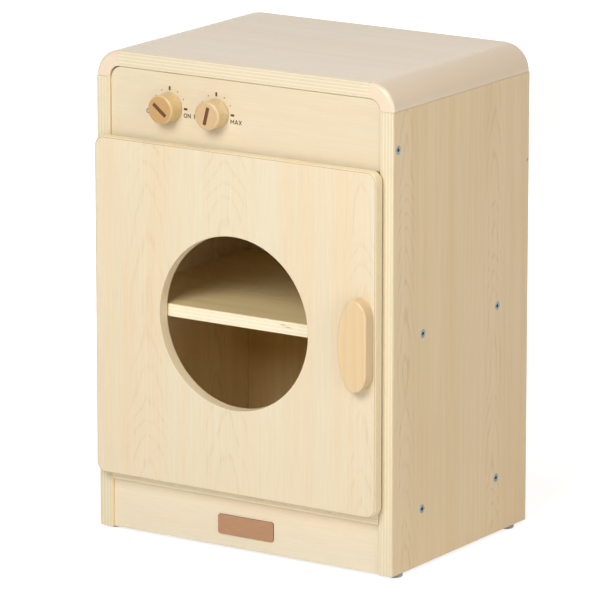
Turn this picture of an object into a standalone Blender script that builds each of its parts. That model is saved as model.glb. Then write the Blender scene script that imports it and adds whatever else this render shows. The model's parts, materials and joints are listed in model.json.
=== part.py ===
"""Toy washing machine for pretend play: a plywood cabinet with a round window in its door.

Run with: blender --background --python part.py
Units are metres. +Z is up, the door faces -Y and its hinges are on the left (-X).
The origin is on the floor, under the middle of the object's bounding box.
"""

import math

import bmesh
import bpy
from mathutils import Matrix, Vector

# Cabinet
CABINET_WIDTH = 0.400
CABINET_DEPTH = 0.290
CABINET_HEIGHT = 0.561
CASE_BOARD = 0.018
INNER_BOARD = 0.015
BACK_BOARD = 0.009
CORNER_RADIUS = 0.031
EDGE_RADIUS = 0.002
MOULDING_END_RADIUS = 0.0045
SOFT_EDGE_RADIUS = 0.001
FIT_GAP = 0.0003

# Tongues that join the corner mouldings to the boards, stopped short of the front and back
TONGUE_THICKNESS = 0.006
TONGUE_LENGTH = 0.007
TONGUE_ROOT = 0.003
TONGUE_END_INSET = 0.012

# Control panel and plinth
HEADER_HEIGHT = 0.082
HEADER_RECESS = 0.0025
HEADER_CORNER_RELIEF = 0.0022
PLINTH_HEIGHT = 0.058
PLINTH_RECESS = 0.004

# Glides under the side panels
GLIDE_HEIGHT = 0.004
GLIDE_RADIUS = 0.009
GLIDE_CHAMFER = 0.001
GLIDE_NAIL_RADIUS = 0.0012
GLIDE_NAIL_LENGTH = 0.012
GLIDE_FRONT_INSET = 0.020
GLIDE_REAR_INSET = 0.030

# Hexagon-socket screws through the side panels
CASE_SCREW_LENGTH = 0.050
CASE_SCREW_HEAD_RADIUS = 0.005
CASE_SCREW_RIM = 0.0008
CASE_SCREW_HEAD_DEPTH = 0.004
CASE_SCREW_SHANK_RADIUS = 0.0034
CASE_SCREW_CORE_RADIUS = 0.0024
CASE_SCREW_SHANK_BITE = 0.004
CASE_SCREW_POINT = 0.002
CASE_SOCKET_RADIUS = 0.0023
CASE_SOCKET_DEPTH = 0.003
SCREW_FRONT_INSET = 0.063
SCREW_REAR_INSET = 0.068
HEADER_SCREW_HEIGHT = 0.026

# Pins through the side panels into the back panel
PIN_RADIUS = 0.0009
PIN_HEAD_RADIUS = 0.0018
PIN_HEAD_DEPTH = 0.001
PIN_LENGTH = 0.030
PIN_HEIGHT_SHARE = 0.762

# Door
DOOR_THICKNESS = 0.015
DOOR_LEFT_INSET = 0.008
DOOR_RIGHT_INSET = 0.012
DOOR_TOP_LAP = 0.003
DOOR_BOTTOM_REVEAL = 0.011
DOOR_CORNER_RADIUS = 0.012
DOOR_EDGE_RADIUS = 0.003
PORTHOLE_RADIUS = 0.100
PORTHOLE_EDGE_RADIUS = 0.0015

# Handle, and the screws that hold it from inside the door
HANDLE_WIDTH = 0.038
HANDLE_HEIGHT = 0.105
HANDLE_THICKNESS = 0.016
HANDLE_FLAT_LENGTH = 0.062
HANDLE_BELLY_SHARE = 0.55
HANDLE_EDGE_INSET = 0.0025
HANDLE_EDGE_RADIUS = 0.002
HANDLE_BACK_EDGE_SHARE = 0.5
HANDLE_SCREW_SPACING = 0.064
HANDLE_SCREW_RADIUS = 0.002
HANDLE_SCREW_HEAD_RADIUS = 0.004
HANDLE_SCREW_HEAD_HEIGHT = 0.0022
HANDLE_SCREW_BITE = 0.010

# Butt hinges, each two rolled leaves on one pin
HINGE_LENGTH = 0.060
HINGE_INSET = 0.065
HINGE_KNUCKLES = 5
LEAF_THICKNESS = 0.001
LEAF_CLEARANCE = 0.0004
FRAME_LEAF_REACH = 0.011
DOOR_LEAF_REACH = 0.016
BARREL_RADIUS = 0.0025
BARREL_CLEARANCE = 0.0003
HINGE_PIN_HEAD_RADIUS = 0.0022
HINGE_PIN_HEAD_HEIGHT = 0.0008
HINGE_SCREW_SPACING = 0.036
HINGE_SCREW_LENGTH = 0.010
HINGE_SCREW_RADIUS = 0.0012
HINGE_SCREW_HEAD_RADIUS = 0.0024
FRAME_LEAF_SCREW_OFFSET = 0.007
DOOR_LEAF_SCREW_OFFSET = 0.0105
CURL_END_ANGLE = 380.0
CURL_SLIT_ANGLE = 15.0

# Magnetic catch on the right side panel, and its strike plate on the door
CATCH_LENGTH = 0.046
CATCH_BODY_LENGTH = 0.030
CATCH_EAR_THICKNESS = 0.003
CATCH_WIDTH = 0.014
CATCH_DEPTH = 0.016
CATCH_GAP = 0.0004
CATCH_HEIGHT_ABOVE_SHELF = 0.070
CATCH_SCREW_SPACING = 0.038
CATCH_SCREW_RADIUS = 0.0012
CATCH_SCREW_HEAD_RADIUS = 0.0026
CATCH_SCREW_HEAD_HEIGHT = 0.0016
CATCH_SCREW_LENGTH = 0.012
MAGNET_LENGTH = 0.022
MAGNET_WIDTH = 0.008
MAGNET_DEPTH = 0.010
STRIKE_LENGTH = 0.030
STRIKE_WIDTH = 0.012
STRIKE_THICKNESS = 0.001
STRIKE_CORNER_RADIUS = 0.002

# Knobs and the spindles that carry them
KNOB_FIRST_OFFSET = 0.0996
KNOB_SPACING = 0.0635
KNOB_RISE = 0.001
KNOB_BASE_RADIUS = 0.0170
KNOB_WAIST_RADIUS = 0.0157
KNOB_FACE_RADIUS = 0.0164
KNOB_LENGTH = 0.0196
KNOB_FACE_ROUND = 0.0030
KNOB_WAIST_SHARE = 0.45
KNOB_LEFT_ANGLE = 52.0
KNOB_RIGHT_ANGLE = -14.5
GROOVE_LENGTH = 0.021
GROOVE_WIDTH = 0.0044
GROOVE_DEPTH = 0.0008
SPINDLE_RADIUS = 0.0025
SPINDLE_HEAD_RADIUS = 0.005
SPINDLE_HEAD_HEIGHT = 0.003
SPINDLE_BITE = 0.012
SPINDLE_SOCKET_RADIUS = 0.0017
SPINDLE_SOCKET_DEPTH = 0.0018
WASHER_RADIUS = 0.0065
REAR_WASHER_THICKNESS = 0.001
FRONT_WASHER_THICKNESS = 0.0005

# Modelling allowances
CUT_OVERRUN = 0.004
CUT_LIFT = 0.0001
MERGE_DISTANCE = 0.00001

# Facet counts and angles
SCREW_STEPS = 8
HEXAGON = 6
GLIDE_STEPS = 16
KNOB_STEPS = 32
KNOB_SIDE_STEPS = 3
PORTHOLE_STEPS = 60
CORNER_STEPS = 8
SMALL_CORNER_STEPS = 3
DOOR_CORNER_STEPS = 5
HANDLE_BELLY_STEPS = 20
HANDLE_SHOULDER_STEPS = 7
CURL_STEPS = 12
SMOOTH_ANGLE = math.radians(35.0)
FLAT_ANGLE = math.radians(0.5)
RIGHT_ANGLE = math.radians(90.0)

# Places worked out from the sizes above
DOOR_GAP = LEAF_THICKNESS + 2 * FIT_GAP + LEAF_CLEARANCE
FRONT_PROJECTION = DOOR_GAP + DOOR_THICKNESS + FIT_GAP + HANDLE_THICKNESS
FRONT_Y = (FRONT_PROJECTION - CABINET_DEPTH) / 2
BACK_Y = FRONT_Y + CABINET_DEPTH
MIDDLE_Y = (FRONT_Y + BACK_Y) / 2
BACK_BOARD_Y = BACK_Y - BACK_BOARD
HALF_WIDTH = CABINET_WIDTH / 2
INNER_HALF = HALF_WIDTH - CASE_BOARD
BOARD_HALF = INNER_HALF - FIT_GAP
SIDE_MIDDLE_X = HALF_WIDTH - CASE_BOARD / 2
PANEL_BOTTOM = GLIDE_HEIGHT
CABINET_TOP = PANEL_BOTTOM + CABINET_HEIGHT
CEILING = CABINET_TOP - CASE_BOARD
TOP_MIDDLE_Z = CABINET_TOP - CASE_BOARD / 2
SEAM_X = HALF_WIDTH - CORNER_RADIUS
SEAM_Z = CABINET_TOP - CORNER_RADIUS
INNER_CORNER_RADIUS = CORNER_RADIUS - CASE_BOARD
HEADER_TOP = CEILING - FIT_GAP
HEADER_BOTTOM = CEILING - HEADER_HEIGHT
HEADER_FACE_Y = FRONT_Y + HEADER_RECESS
HEADER_MIDDLE_Y = HEADER_FACE_Y + INNER_BOARD / 2
HEADER_BACK_Y = HEADER_FACE_Y + INNER_BOARD
FLOOR_BOTTOM = PANEL_BOTTOM + PLINTH_HEIGHT
FLOOR_TOP = FLOOR_BOTTOM + INNER_BOARD
DOOR_BACK_Y = FRONT_Y - DOOR_GAP
DOOR_FRONT_Y = DOOR_BACK_Y - DOOR_THICKNESS
DOOR_MIDDLE_Y = (DOOR_BACK_Y + DOOR_FRONT_Y) / 2
DOOR_LEFT = -HALF_WIDTH + DOOR_LEFT_INSET
DOOR_RIGHT = HALF_WIDTH - DOOR_RIGHT_INSET
DOOR_MIDDLE_X = (DOOR_LEFT + DOOR_RIGHT) / 2
DOOR_BOTTOM = FLOOR_BOTTOM + DOOR_BOTTOM_REVEAL
DOOR_TOP = HEADER_BOTTOM + DOOR_TOP_LAP
SHELF_MIDDLE = (FLOOR_TOP + DOOR_TOP) / 2
DOOR_MIDDLE_Z = (DOOR_TOP + DOOR_BOTTOM) / 2
DOOR_HARDWARE_Y = DOOR_BACK_Y + FIT_GAP
HANDLE_X = DOOR_RIGHT - HANDLE_EDGE_INSET - HANDLE_WIDTH / 2
HANDLE_Y = DOOR_FRONT_Y - FIT_GAP - HANDLE_THICKNESS / 2
HINGE_X = DOOR_LEFT - BARREL_CLEARANCE - BARREL_RADIUS
HINGE_Y = FRONT_Y - FIT_GAP - BARREL_RADIUS
HINGE_HEIGHTS = {"upper": DOOR_TOP - HINGE_INSET, "lower": DOOR_BOTTOM + HINGE_INSET}
CATCH_X = INNER_HALF - FIT_GAP - CATCH_WIDTH / 2
CATCH_Z = SHELF_MIDDLE + CATCH_HEIGHT_ABOVE_SHELF
CATCH_FRONT_Y = DOOR_HARDWARE_Y + STRIKE_THICKNESS + CATCH_GAP
KNOB_Z = (CEILING + HEADER_BOTTOM) / 2 + KNOB_RISE
KNOB_BASE_Y = HEADER_FACE_Y - FRONT_WASHER_THICKNESS - 2 * FIT_GAP
SPINDLE_HEAD_Y = HEADER_BACK_Y + REAR_WASHER_THICKNESS + 2 * FIT_GAP
KNOB_LEFT_X = KNOB_FIRST_OFFSET - HALF_WIDTH
KNOB_RIGHT_X = KNOB_LEFT_X + KNOB_SPACING
BOARD_SCREW_YS = (FRONT_Y + SCREW_FRONT_INSET, BACK_Y - SCREW_REAR_INSET)
SIDES = {"left": -1, "right": 1}

# Directions for a turned piece's own +Z
TO_LEFT = Vector((-1, 0, 0))
TO_RIGHT = Vector((1, 0, 0))
TO_FRONT = Vector((0, -1, 0))
TO_BACK = Vector((0, 1, 0))

# Colour as sRGB, roughness and metallic value of each real material
LOOKS = {
    "maple_laminate": ("F0E0C4", 0.45, 0.0),
    "grey_beige_laminate": ("D6CCBC", 0.40, 0.0),
    "cream_moulding": ("F3E2D0", 0.30, 0.0),
    "oiled_beech": ("E2C596", 0.50, 0.0),
    "zinc_plated_steel": ("C2C8CE", 0.30, 1.0),
    "grey_polypropylene": ("A8A8AB", 0.45, 0.0),
    "red_fibre": ("B07C68", 0.70, 0.0),
    "white_nylon": ("EDEDEA", 0.40, 0.0),
    "dark_ferrite": ("3F3F42", 0.60, 0.0),
}


def linear_colour(hexadecimal):
    """An sRGB colour such as F0E0C4 as the linear values that a shader takes."""
    values = []
    for start in (0, 2, 4):
        share = int(hexadecimal[start : start + 2], 16) / 255
        values.append(share / 12.92 if share <= 0.04045 else ((share + 0.055) / 1.055) ** 2.4)
    return (*values, 1.0)


def clear_objects():
    for item in list(bpy.data.objects):
        bpy.data.objects.remove(item, do_unlink=True)


def add_collection(name):
    collection = bpy.data.collections.new(name)
    bpy.context.scene.collection.children.link(collection)
    return collection


def add_pivot(name, place):
    pivot = bpy.data.objects.new(name, None)
    pivot.location = place
    PARTS.objects.link(pivot)
    return pivot


def follow(item, pivot):
    """Parents an object to a pivot and leaves it where it is."""
    if pivot is not None:
        item.parent = pivot
        item.matrix_parent_inverse = Matrix.Translation(-pivot.location)


def add_part(part, look, pivot=None):
    """Puts a sub-part in the model, with a material of its own."""
    colour, roughness, metallic = LOOKS[look]
    material = bpy.data.materials.new(part.name + "_" + look)
    material.use_nodes = True
    shader = material.node_tree.nodes["Principled BSDF"]
    shader.inputs["Base Color"].default_value = linear_colour(colour)
    shader.inputs["Roughness"].default_value = roughness
    shader.inputs["Metallic"].default_value = metallic
    part.data.materials.clear()
    part.data.materials.append(material)
    PARTS.objects.link(part)
    follow(part, pivot)


def add_cutter(cutter, pivot=None):
    CUTTERS.objects.link(cutter)
    cutter.hide_render = True
    cutter.display_type = "WIRE"
    follow(cutter, pivot)
    return cutter


def boolean(target, other, operation):
    modifier = target.modifiers.new(other.name, "BOOLEAN")
    modifier.operation = operation
    modifier.solver = "EXACT"
    modifier.object = other


def cut(target, *cutters):
    for cutter in cutters:
        boolean(target, cutter, "DIFFERENCE")


def pointing(direction, place, spin=0.0):
    """A matrix that turns +Z to a direction, after a spin about +Z in degrees, and moves to a place."""
    turn = direction.to_track_quat("Z", "Y").to_matrix().to_4x4()
    return Matrix.Translation(place) @ turn @ Matrix.Rotation(math.radians(spin), 4, "Z")


def upright(place):
    """Stands a flat outline up: its own Y points up and its own Z to the front."""
    return Matrix.Translation(place) @ Matrix.Rotation(RIGHT_ANGLE, 4, "X")


def mesh_object(name, shape, matrix):
    mesh = bpy.data.meshes.new(name)
    shape.to_mesh(mesh)
    shape.free()
    made = bpy.data.objects.new(name, mesh)
    made.matrix_world = matrix
    return made


def add_box(shape, low, high):
    """Adds a box between two corners to a bmesh."""
    low, high = Vector(low), Vector(high)
    matrix = Matrix.Translation((low + high) / 2) @ Matrix.Diagonal((*(high - low), 1.0))
    bmesh.ops.create_cube(shape, size=1.0, matrix=matrix)


def box(name, low, high):
    """A box between two corners, with its origin at its middle."""
    low, high = Vector(low), Vector(high)
    half = (high - low) / 2
    shape = bmesh.new()
    add_box(shape, -half, half)
    return mesh_object(name, shape, Matrix.Translation(low + half))


def boxes(name, corner_pairs):
    """Several boxes in one mesh, for a cutter."""
    shape = bmesh.new()
    for low, high in corner_pairs:
        add_box(shape, low, high)
    return mesh_object(name, shape, Matrix.Identity(4))


def evaluated_mesh(item):
    """The mesh that an object's curve or modifiers make. The object is used up."""
    bpy.context.scene.collection.objects.link(item)
    depsgraph = bpy.context.evaluated_depsgraph_get()
    mesh = bpy.data.meshes.new_from_object(item.evaluated_get(depsgraph))
    bpy.data.objects.remove(item, do_unlink=True)
    return mesh


def smooth(item):
    item.data.shade_smooth()
    item.data.set_sharp_from_angle(angle=SMOOTH_ANGLE)
    return item


def plate(name, outline, thickness, matrix):
    """A flat outline, filled and made thick along its own Z, as a closed mesh."""
    curve = bpy.data.curves.new(name, "CURVE")
    curve.dimensions = "2D"
    curve.fill_mode = "BOTH"
    curve.extrude = thickness / 2
    spline = curve.splines.new("POLY")
    spline.points.add(len(outline) - 1)
    for point, (x, y) in zip(spline.points, outline):
        point.co = (x, y, 0.0, 1.0)
    spline.use_cyclic_u = True
    shape = bmesh.new()
    shape.from_mesh(evaluated_mesh(bpy.data.objects.new(name + "_outline", curve)))
    bmesh.ops.remove_doubles(shape, verts=shape.verts, dist=MERGE_DISTANCE)
    bmesh.ops.dissolve_limit(shape, angle_limit=FLAT_ANGLE, verts=shape.verts, edges=shape.edges)
    bmesh.ops.recalc_face_normals(shape, faces=shape.faces)
    return smooth(mesh_object(name, shape, matrix))


def turned(name, profile, matrix, steps=SCREW_STEPS, closed=False):
    """A profile of (radius, height) points, top to bottom on its outer side, turned about Z."""
    mesh = bpy.data.meshes.new(name + "_profile")
    count = len(profile)
    edges = [(i, (i + 1) % count) for i in range(count if closed else count - 1)]
    mesh.from_pydata([(radius, 0.0, height) for radius, height in profile], edges, [])
    profile_object = bpy.data.objects.new(name + "_profile", mesh)
    screw = profile_object.modifiers.new("turn", "SCREW")
    screw.steps = steps
    screw.render_steps = steps
    screw.use_merge_vertices = True
    screw.merge_threshold = MERGE_DISTANCE
    made = bpy.data.objects.new(name, evaluated_mesh(profile_object))
    made.matrix_world = matrix
    return smooth(made)


def add_repeated(base_name, profile, matrices, look, pivot=None):
    """A turned piece at each matrix, each its own sub-part."""
    for number, matrix in enumerate(matrices, start=1):
        add_part(turned(f"{base_name}_{number}", profile, matrix), look, pivot)


def add_holes(name, profile, matrices, pivot=None):
    """One cutter that has a turned hole at each matrix."""
    hole = turned(name, profile, Matrix.Identity(4)).data
    shape = bmesh.new()
    for matrix in matrices:
        before = len(shape.verts)
        shape.from_mesh(hole)
        shape.verts.ensure_lookup_table()
        bmesh.ops.transform(shape, matrix=matrix, verts=shape.verts[before:])
    return add_cutter(mesh_object(name + "_all", shape, Matrix.Identity(4)), pivot)


def ease(target, radius, weight_of_edge, segments=2):
    """Rounds the edges that the rule gives a weight, by that share of the radius."""
    shape = bmesh.new()
    shape.from_mesh(target.data)
    weights = shape.edges.layers.float.new("bevel_weight_edge")
    for edge in shape.edges:
        edge[weights] = weight_of_edge(edge.verts[0].co, edge.verts[1].co)
    shape.to_mesh(target.data)
    shape.free()
    bevel = target.modifiers.new("eased_edges", "BEVEL")
    bevel.limit_method = "WEIGHT"
    bevel.width = radius
    bevel.segments = segments


def runs_along(start, end, axis):
    """Whether an edge of a box runs along X (0), Y (1) or Z (2)."""
    return all(abs(start[i] - end[i]) < MERGE_DISTANCE for i in range(3) if i != axis)


def on_one_face(start, end):
    """Whether an edge of a plate lies on its front or its back face."""
    return abs(start.z - end.z) < MERGE_DISTANCE


def arc(centre, radius, start, end, steps):
    """Points from one angle to another in degrees, both ends included. An ellipse has two radii."""
    across, along = radius if isinstance(radius, tuple) else (radius, radius)
    points = []
    for step in range(steps + 1):
        angle = math.radians(start + (end - start) * step / steps)
        points.append((centre[0] + across * math.cos(angle), centre[1] + along * math.sin(angle)))
    return points


def rounded_rectangle(width, height, radius, steps):
    x, y = width / 2 - radius, height / 2 - radius
    right = arc((x, -y), radius, -90, 0, steps) + arc((x, y), radius, 0, 90, steps)
    return right + arc((-x, y), radius, 90, 180, steps) + arc((-x, -y), radius, 180, 270, steps)


def rod(radius, top, bottom):
    """The profile of a plain cylinder."""
    return [(0.0, top), (radius, top), (radius, bottom), (0.0, bottom)]


def case_screw_profile(grow=0.0):
    """A case screw with its head's face at 0, or its hole when grown by the fit gap."""
    head, shank = CASE_SCREW_HEAD_RADIUS + grow, CASE_SCREW_SHANK_RADIUS + grow
    core = CASE_SCREW_CORE_RADIUS + grow
    mouth = CUT_OVERRUN if grow else 0.0
    shank_end = -CASE_BOARD - CASE_SCREW_SHANK_BITE - grow
    return [
        (0.0, mouth),
        (head, mouth),
        (head, -CASE_SCREW_RIM - grow),
        (shank, -CASE_SCREW_HEAD_DEPTH - grow),
        (shank, shank_end),
        (core, shank_end),
        (core, -CASE_SCREW_LENGTH + CASE_SCREW_POINT - grow),
        (0.0, -CASE_SCREW_LENGTH - grow),
    ]


def pin_profile(grow=0.0):
    """A back-panel pin with its head's face at 0, or its hole."""
    head, shank = PIN_HEAD_RADIUS + grow, PIN_RADIUS + grow
    mouth = CUT_OVERRUN if grow else 0.0
    seat, end = -PIN_HEAD_DEPTH - grow, -PIN_LENGTH - grow
    return [(0.0, mouth), (head, mouth), (head, seat), (shank, seat), (shank, end), (0.0, end)]


def countersunk_profile(grow=0.0):
    """A small screw whose cone fills a leaf of the hinge, with its head's face at 0, or its hole."""
    head, shank = HINGE_SCREW_HEAD_RADIUS + grow, HINGE_SCREW_RADIUS + grow
    end = -HINGE_SCREW_LENGTH - grow
    mouth = [(0.0, CUT_OVERRUN), (head, CUT_OVERRUN)] if grow else [(0.0, 0.0)]
    return mouth + [(head, 0.0), (shank, -LEAF_THICKNESS), (shank, end), (0.0, end)]


def pan_head_profile(head_radius, head_height, radius, length, grow=0.0):
    """A pan-head screw that seats at 0, or its hole."""
    head, shank = head_radius + grow, radius + grow
    top = head_height + grow
    return [
        (0.0, top),
        (head / 2, top),
        (head, head_height / 2),
        (head, -grow),
        (shank, -grow),
        (shank, -length - grow),
        (0.0, -length - grow),
    ]


def handle_screw_profile(grow=0.0):
    length = DOOR_HARDWARE_Y - DOOR_FRONT_Y + FIT_GAP + HANDLE_SCREW_BITE
    head, height = HANDLE_SCREW_HEAD_RADIUS, HANDLE_SCREW_HEAD_HEIGHT
    return pan_head_profile(head, height, HANDLE_SCREW_RADIUS, length, grow)


def catch_screw_profile(grow=0.0):
    head, height = CATCH_SCREW_HEAD_RADIUS, CATCH_SCREW_HEAD_HEIGHT
    return pan_head_profile(head, height, CATCH_SCREW_RADIUS, CATCH_SCREW_LENGTH, grow)


def case_screw_matrices(side):
    places = [(HEADER_MIDDLE_Y, HEADER_BOTTOM + HEADER_SCREW_HEIGHT)]
    places += [(y, SHELF_MIDDLE) for y in BOARD_SCREW_YS]
    places += [(y, FLOOR_BOTTOM + INNER_BOARD / 2) for y in BOARD_SCREW_YS]
    direction = TO_RIGHT if side > 0 else TO_LEFT
    return [pointing(direction, Vector((side * HALF_WIDTH, y, z))) for y, z in places]


def pin_matrices(side):
    direction = TO_RIGHT if side > 0 else TO_LEFT
    z = PANEL_BOTTOM + CABINET_HEIGHT * PIN_HEIGHT_SHARE
    return [pointing(direction, Vector((side * HALF_WIDTH, BACK_Y - BACK_BOARD / 2, z)))]


def glide_matrices(side):
    ys = (FRONT_Y + GLIDE_FRONT_INSET, BACK_Y - GLIDE_REAR_INSET)
    return [Matrix.Translation((side * SIDE_MIDDLE_X, y, 0.0)) for y in ys]


def hinge_screw_matrices(direction, offset, y):
    """Two screws a leaf, upper hinge first."""
    half = HINGE_SCREW_SPACING / 2
    places = [
        Vector((HINGE_X + offset, y, height + rise))
        for height in HINGE_HEIGHTS.values()
        for rise in (half, -half)
    ]
    return [pointing(direction, place) for place in places]


def handle_screw_matrices():
    half = HANDLE_SCREW_SPACING / 2
    places = [Vector((HANDLE_X, DOOR_HARDWARE_Y, SHELF_MIDDLE + rise)) for rise in (half, -half)]
    return [pointing(TO_BACK, place) for place in places]


def catch_screw_matrices():
    x = INNER_HALF - CATCH_EAR_THICKNESS - 2 * FIT_GAP
    y = CATCH_FRONT_Y + CATCH_DEPTH / 2
    half = CATCH_SCREW_SPACING / 2
    return [pointing(TO_LEFT, Vector((x, y, CATCH_Z + rise))) for rise in (half, -half)]


def side_groove(side_name, side):
    """The groove in a side panel's top edge for the corner moulding's tongue."""
    half = TONGUE_THICKNESS / 2 + FIT_GAP
    end = TONGUE_END_INSET - FIT_GAP
    low = (side * SIDE_MIDDLE_X - half, FRONT_Y + end, SEAM_Z - TONGUE_LENGTH - FIT_GAP)
    high = (side * SIDE_MIDDLE_X + half, BACK_Y - end, SEAM_Z + CUT_OVERRUN)
    return add_cutter(box(side_name + "_side_groove", low, high))


def top_grooves():
    """The grooves in the top panel's ends for both mouldings' tongues."""
    half = TONGUE_THICKNESS / 2 + FIT_GAP
    end = TONGUE_END_INSET - FIT_GAP
    near, far = SEAM_X - TONGUE_LENGTH - FIT_GAP, SEAM_X + CUT_OVERRUN
    pairs = [
        ((low_x, FRONT_Y + end, TOP_MIDDLE_Z - half), (high_x, BACK_Y - end, TOP_MIDDLE_Z + half))
        for low_x, high_x in ((near, far), (-far, -near))
    ]
    return add_cutter(boxes("top_grooves", pairs))


def build_side_panel(side_name, side, holes):
    """A side panel. Its top edge stays square where it meets the corner moulding."""
    xs = sorted((side * HALF_WIDTH, side * INNER_HALF))
    low = (xs[0], FRONT_Y, PANEL_BOTTOM)
    panel = box(side_name + "_side_panel", low, (xs[1], BACK_Y, SEAM_Z - FIT_GAP))

    def weight(start, end):
        if runs_along(start, end, 2):
            return 1.0 if start.x * side > 0 else 0.5
        return 0.5 if max(start.z, end.z) < 0 else 0.0

    ease(panel, EDGE_RADIUS, weight)
    cut(panel, side_groove(side_name, side), *holes)
    add_part(panel, "maple_laminate")


def build_top_panel():
    half = SEAM_X - FIT_GAP
    panel = box("top_panel", (-half, FRONT_Y, CEILING), (half, BACK_Y, CABINET_TOP))

    def weight(start, end):
        if runs_along(start, end, 0):
            return 1.0 if start.z > 0 else 0.5
        return 0.0

    ease(panel, EDGE_RADIUS, weight)
    cut(panel, top_grooves())
    add_part(panel, "grey_beige_laminate")


def build_corner_moulding(side_name, side):
    """A quarter ring that carries the case round its top corner, with a tongue at each end."""
    outline = arc((0.0, 0.0), CORNER_RADIUS, 0, 90, CORNER_STEPS)
    outline += arc((0.0, 0.0), INNER_CORNER_RADIUS, 90, 0, CORNER_STEPS)
    outline = [(side * x, y) for x, y in outline]
    place = Vector((side * SEAM_X, MIDDLE_Y, SEAM_Z))
    moulding = plate(side_name + "_corner_moulding", outline, CABINET_DEPTH, upright(place))

    def weight(start, end):
        """The two curved edges of each end are rounded, the outer ones more."""
        reach = [math.hypot(corner.x, corner.y) for corner in (start, end)]
        if not on_one_face(start, end) or abs(reach[0] - reach[1]) > MERGE_DISTANCE:
            return 0.0
        outer = reach[0] > CORNER_RADIUS - MERGE_DISTANCE
        return 1.0 if outer else SOFT_EDGE_RADIUS / MOULDING_END_RADIUS

    ease(moulding, MOULDING_END_RADIUS, weight, 3)
    half = TONGUE_THICKNESS / 2
    front, back = FRONT_Y + TONGUE_END_INSET, BACK_Y - TONGUE_END_INSET
    xs = sorted((side * (SEAM_X - TONGUE_LENGTH), side * (SEAM_X + TONGUE_ROOT)))
    x = side * SIDE_MIDDLE_X
    top_tongue = ((xs[0], front, TOP_MIDDLE_Z - half), (xs[1], back, TOP_MIDDLE_Z + half))
    side_tongue = ((x - half, front, SEAM_Z - TONGUE_LENGTH), (x + half, back, SEAM_Z + TONGUE_ROOT))
    tongues = add_cutter(boxes(side_name + "_moulding_tongues", [top_tongue, side_tongue]))
    boolean(moulding, tongues, "UNION")
    add_part(moulding, "cream_moulding")


def arched_outline(bottom):
    """A board between the sides, its top corners rounded to pass inside the corner mouldings."""
    radius = INNER_CORNER_RADIUS + HEADER_CORNER_RELIEF
    x, z = BOARD_HALF - radius, HEADER_TOP - radius
    corners = arc((x, z), radius, 0, 90, CORNER_STEPS) + arc((-x, z), radius, 90, 180, CORNER_STEPS)
    return [(BOARD_HALF, bottom)] + corners + [(-BOARD_HALF, bottom)]


def build_control_panel(holes):
    place = Vector((0.0, HEADER_MIDDLE_Y, 0.0))
    panel = plate("control_panel", arched_outline(HEADER_BOTTOM), INNER_BOARD, upright(place))
    ease(panel, SOFT_EDGE_RADIUS, lambda start, end: 1.0 if on_one_face(start, end) else 0.0, 1)
    cut(panel, *holes)
    add_part(panel, "maple_laminate")


def build_back_panel(holes):
    place = Vector((0.0, BACK_Y - BACK_BOARD / 2, 0.0))
    panel = plate("back_panel", arched_outline(PANEL_BOTTOM), BACK_BOARD, upright(place))
    cut(panel, *holes)
    add_part(panel, "maple_laminate")


def build_board(name, low, high, holes):
    """A board between the sides, with its front edges eased."""
    board = box(name, (-BOARD_HALF, *low), (BOARD_HALF, *high))

    def weight(start, end):
        return 1.0 if runs_along(start, end, 0) and start.y < 0 else 0.0

    ease(board, SOFT_EDGE_RADIUS, weight)
    cut(board, *holes)
    add_part(board, "maple_laminate")


def build_glides(side_name, side):
    """A round foot with a nail moulded into it, under the front and the back of a side panel."""
    top, nail_top = GLIDE_HEIGHT - FIT_GAP, GLIDE_HEIGHT + GLIDE_NAIL_LENGTH
    profile = [
        (0.0, nail_top),
        (GLIDE_NAIL_RADIUS, nail_top),
        (GLIDE_NAIL_RADIUS, top),
        (GLIDE_RADIUS, top),
        (GLIDE_RADIUS, GLIDE_CHAMFER),
        (GLIDE_RADIUS - GLIDE_CHAMFER, 0.0),
        (0.0, 0.0),
    ]
    for end, matrix in zip(("front", "back"), glide_matrices(side)):
        glide = turned(f"glide_{side_name}_{end}", profile, matrix, GLIDE_STEPS)
        add_part(glide, "grey_polypropylene")


def build_case_screws(side_name, side):
    """Five screws, each with a hexagon socket in its head."""
    socket = rod(CASE_SOCKET_RADIUS, CUT_OVERRUN, -CASE_SOCKET_DEPTH)
    for number, matrix in enumerate(case_screw_matrices(side), start=1):
        name = f"{side_name}_case_screw_{number}"
        screw = turned(name, case_screw_profile(), matrix)
        cut(screw, add_cutter(turned(name + "_socket", socket, matrix, HEXAGON)))
        add_part(screw, "zinc_plated_steel")


def frame_leaf_outline():
    """A leaf on the cabinet, rolled round the pin at the origin. It runs off the barrel's rear side."""
    outer, inner = BARREL_RADIUS, BARREL_RADIUS - LEAF_THICKNESS
    inside = arc((0.0, 0.0), inner, 90, CURL_END_ANGLE, CURL_STEPS)
    outside = arc((0.0, 0.0), outer, CURL_END_ANGLE, 90, CURL_STEPS)
    return [(FRAME_LEAF_REACH, inner)] + inside + outside + [(FRAME_LEAF_REACH, outer)]


def door_leaf_outline():
    """A leaf on the door, set in towards the pin so that it lies in front of the frame leaf."""
    outer, inner = BARREL_RADIUS, BARREL_RADIUS - LEAF_THICKNESS
    rear = inner - LEAF_CLEARANCE
    front = rear - LEAF_THICKNESS
    enter = math.degrees(math.asin(front / outer))
    leave = math.degrees(math.asin(rear / inner))
    stop = leave + CURL_SLIT_ANGLE - 360
    outside = arc((0.0, 0.0), outer, enter, stop, CURL_STEPS)
    inside = arc((0.0, 0.0), inner, stop, leave, CURL_STEPS)
    return [(DOOR_LEAF_REACH, front)] + outside + inside + [(DOOR_LEAF_REACH, rear)]


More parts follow.
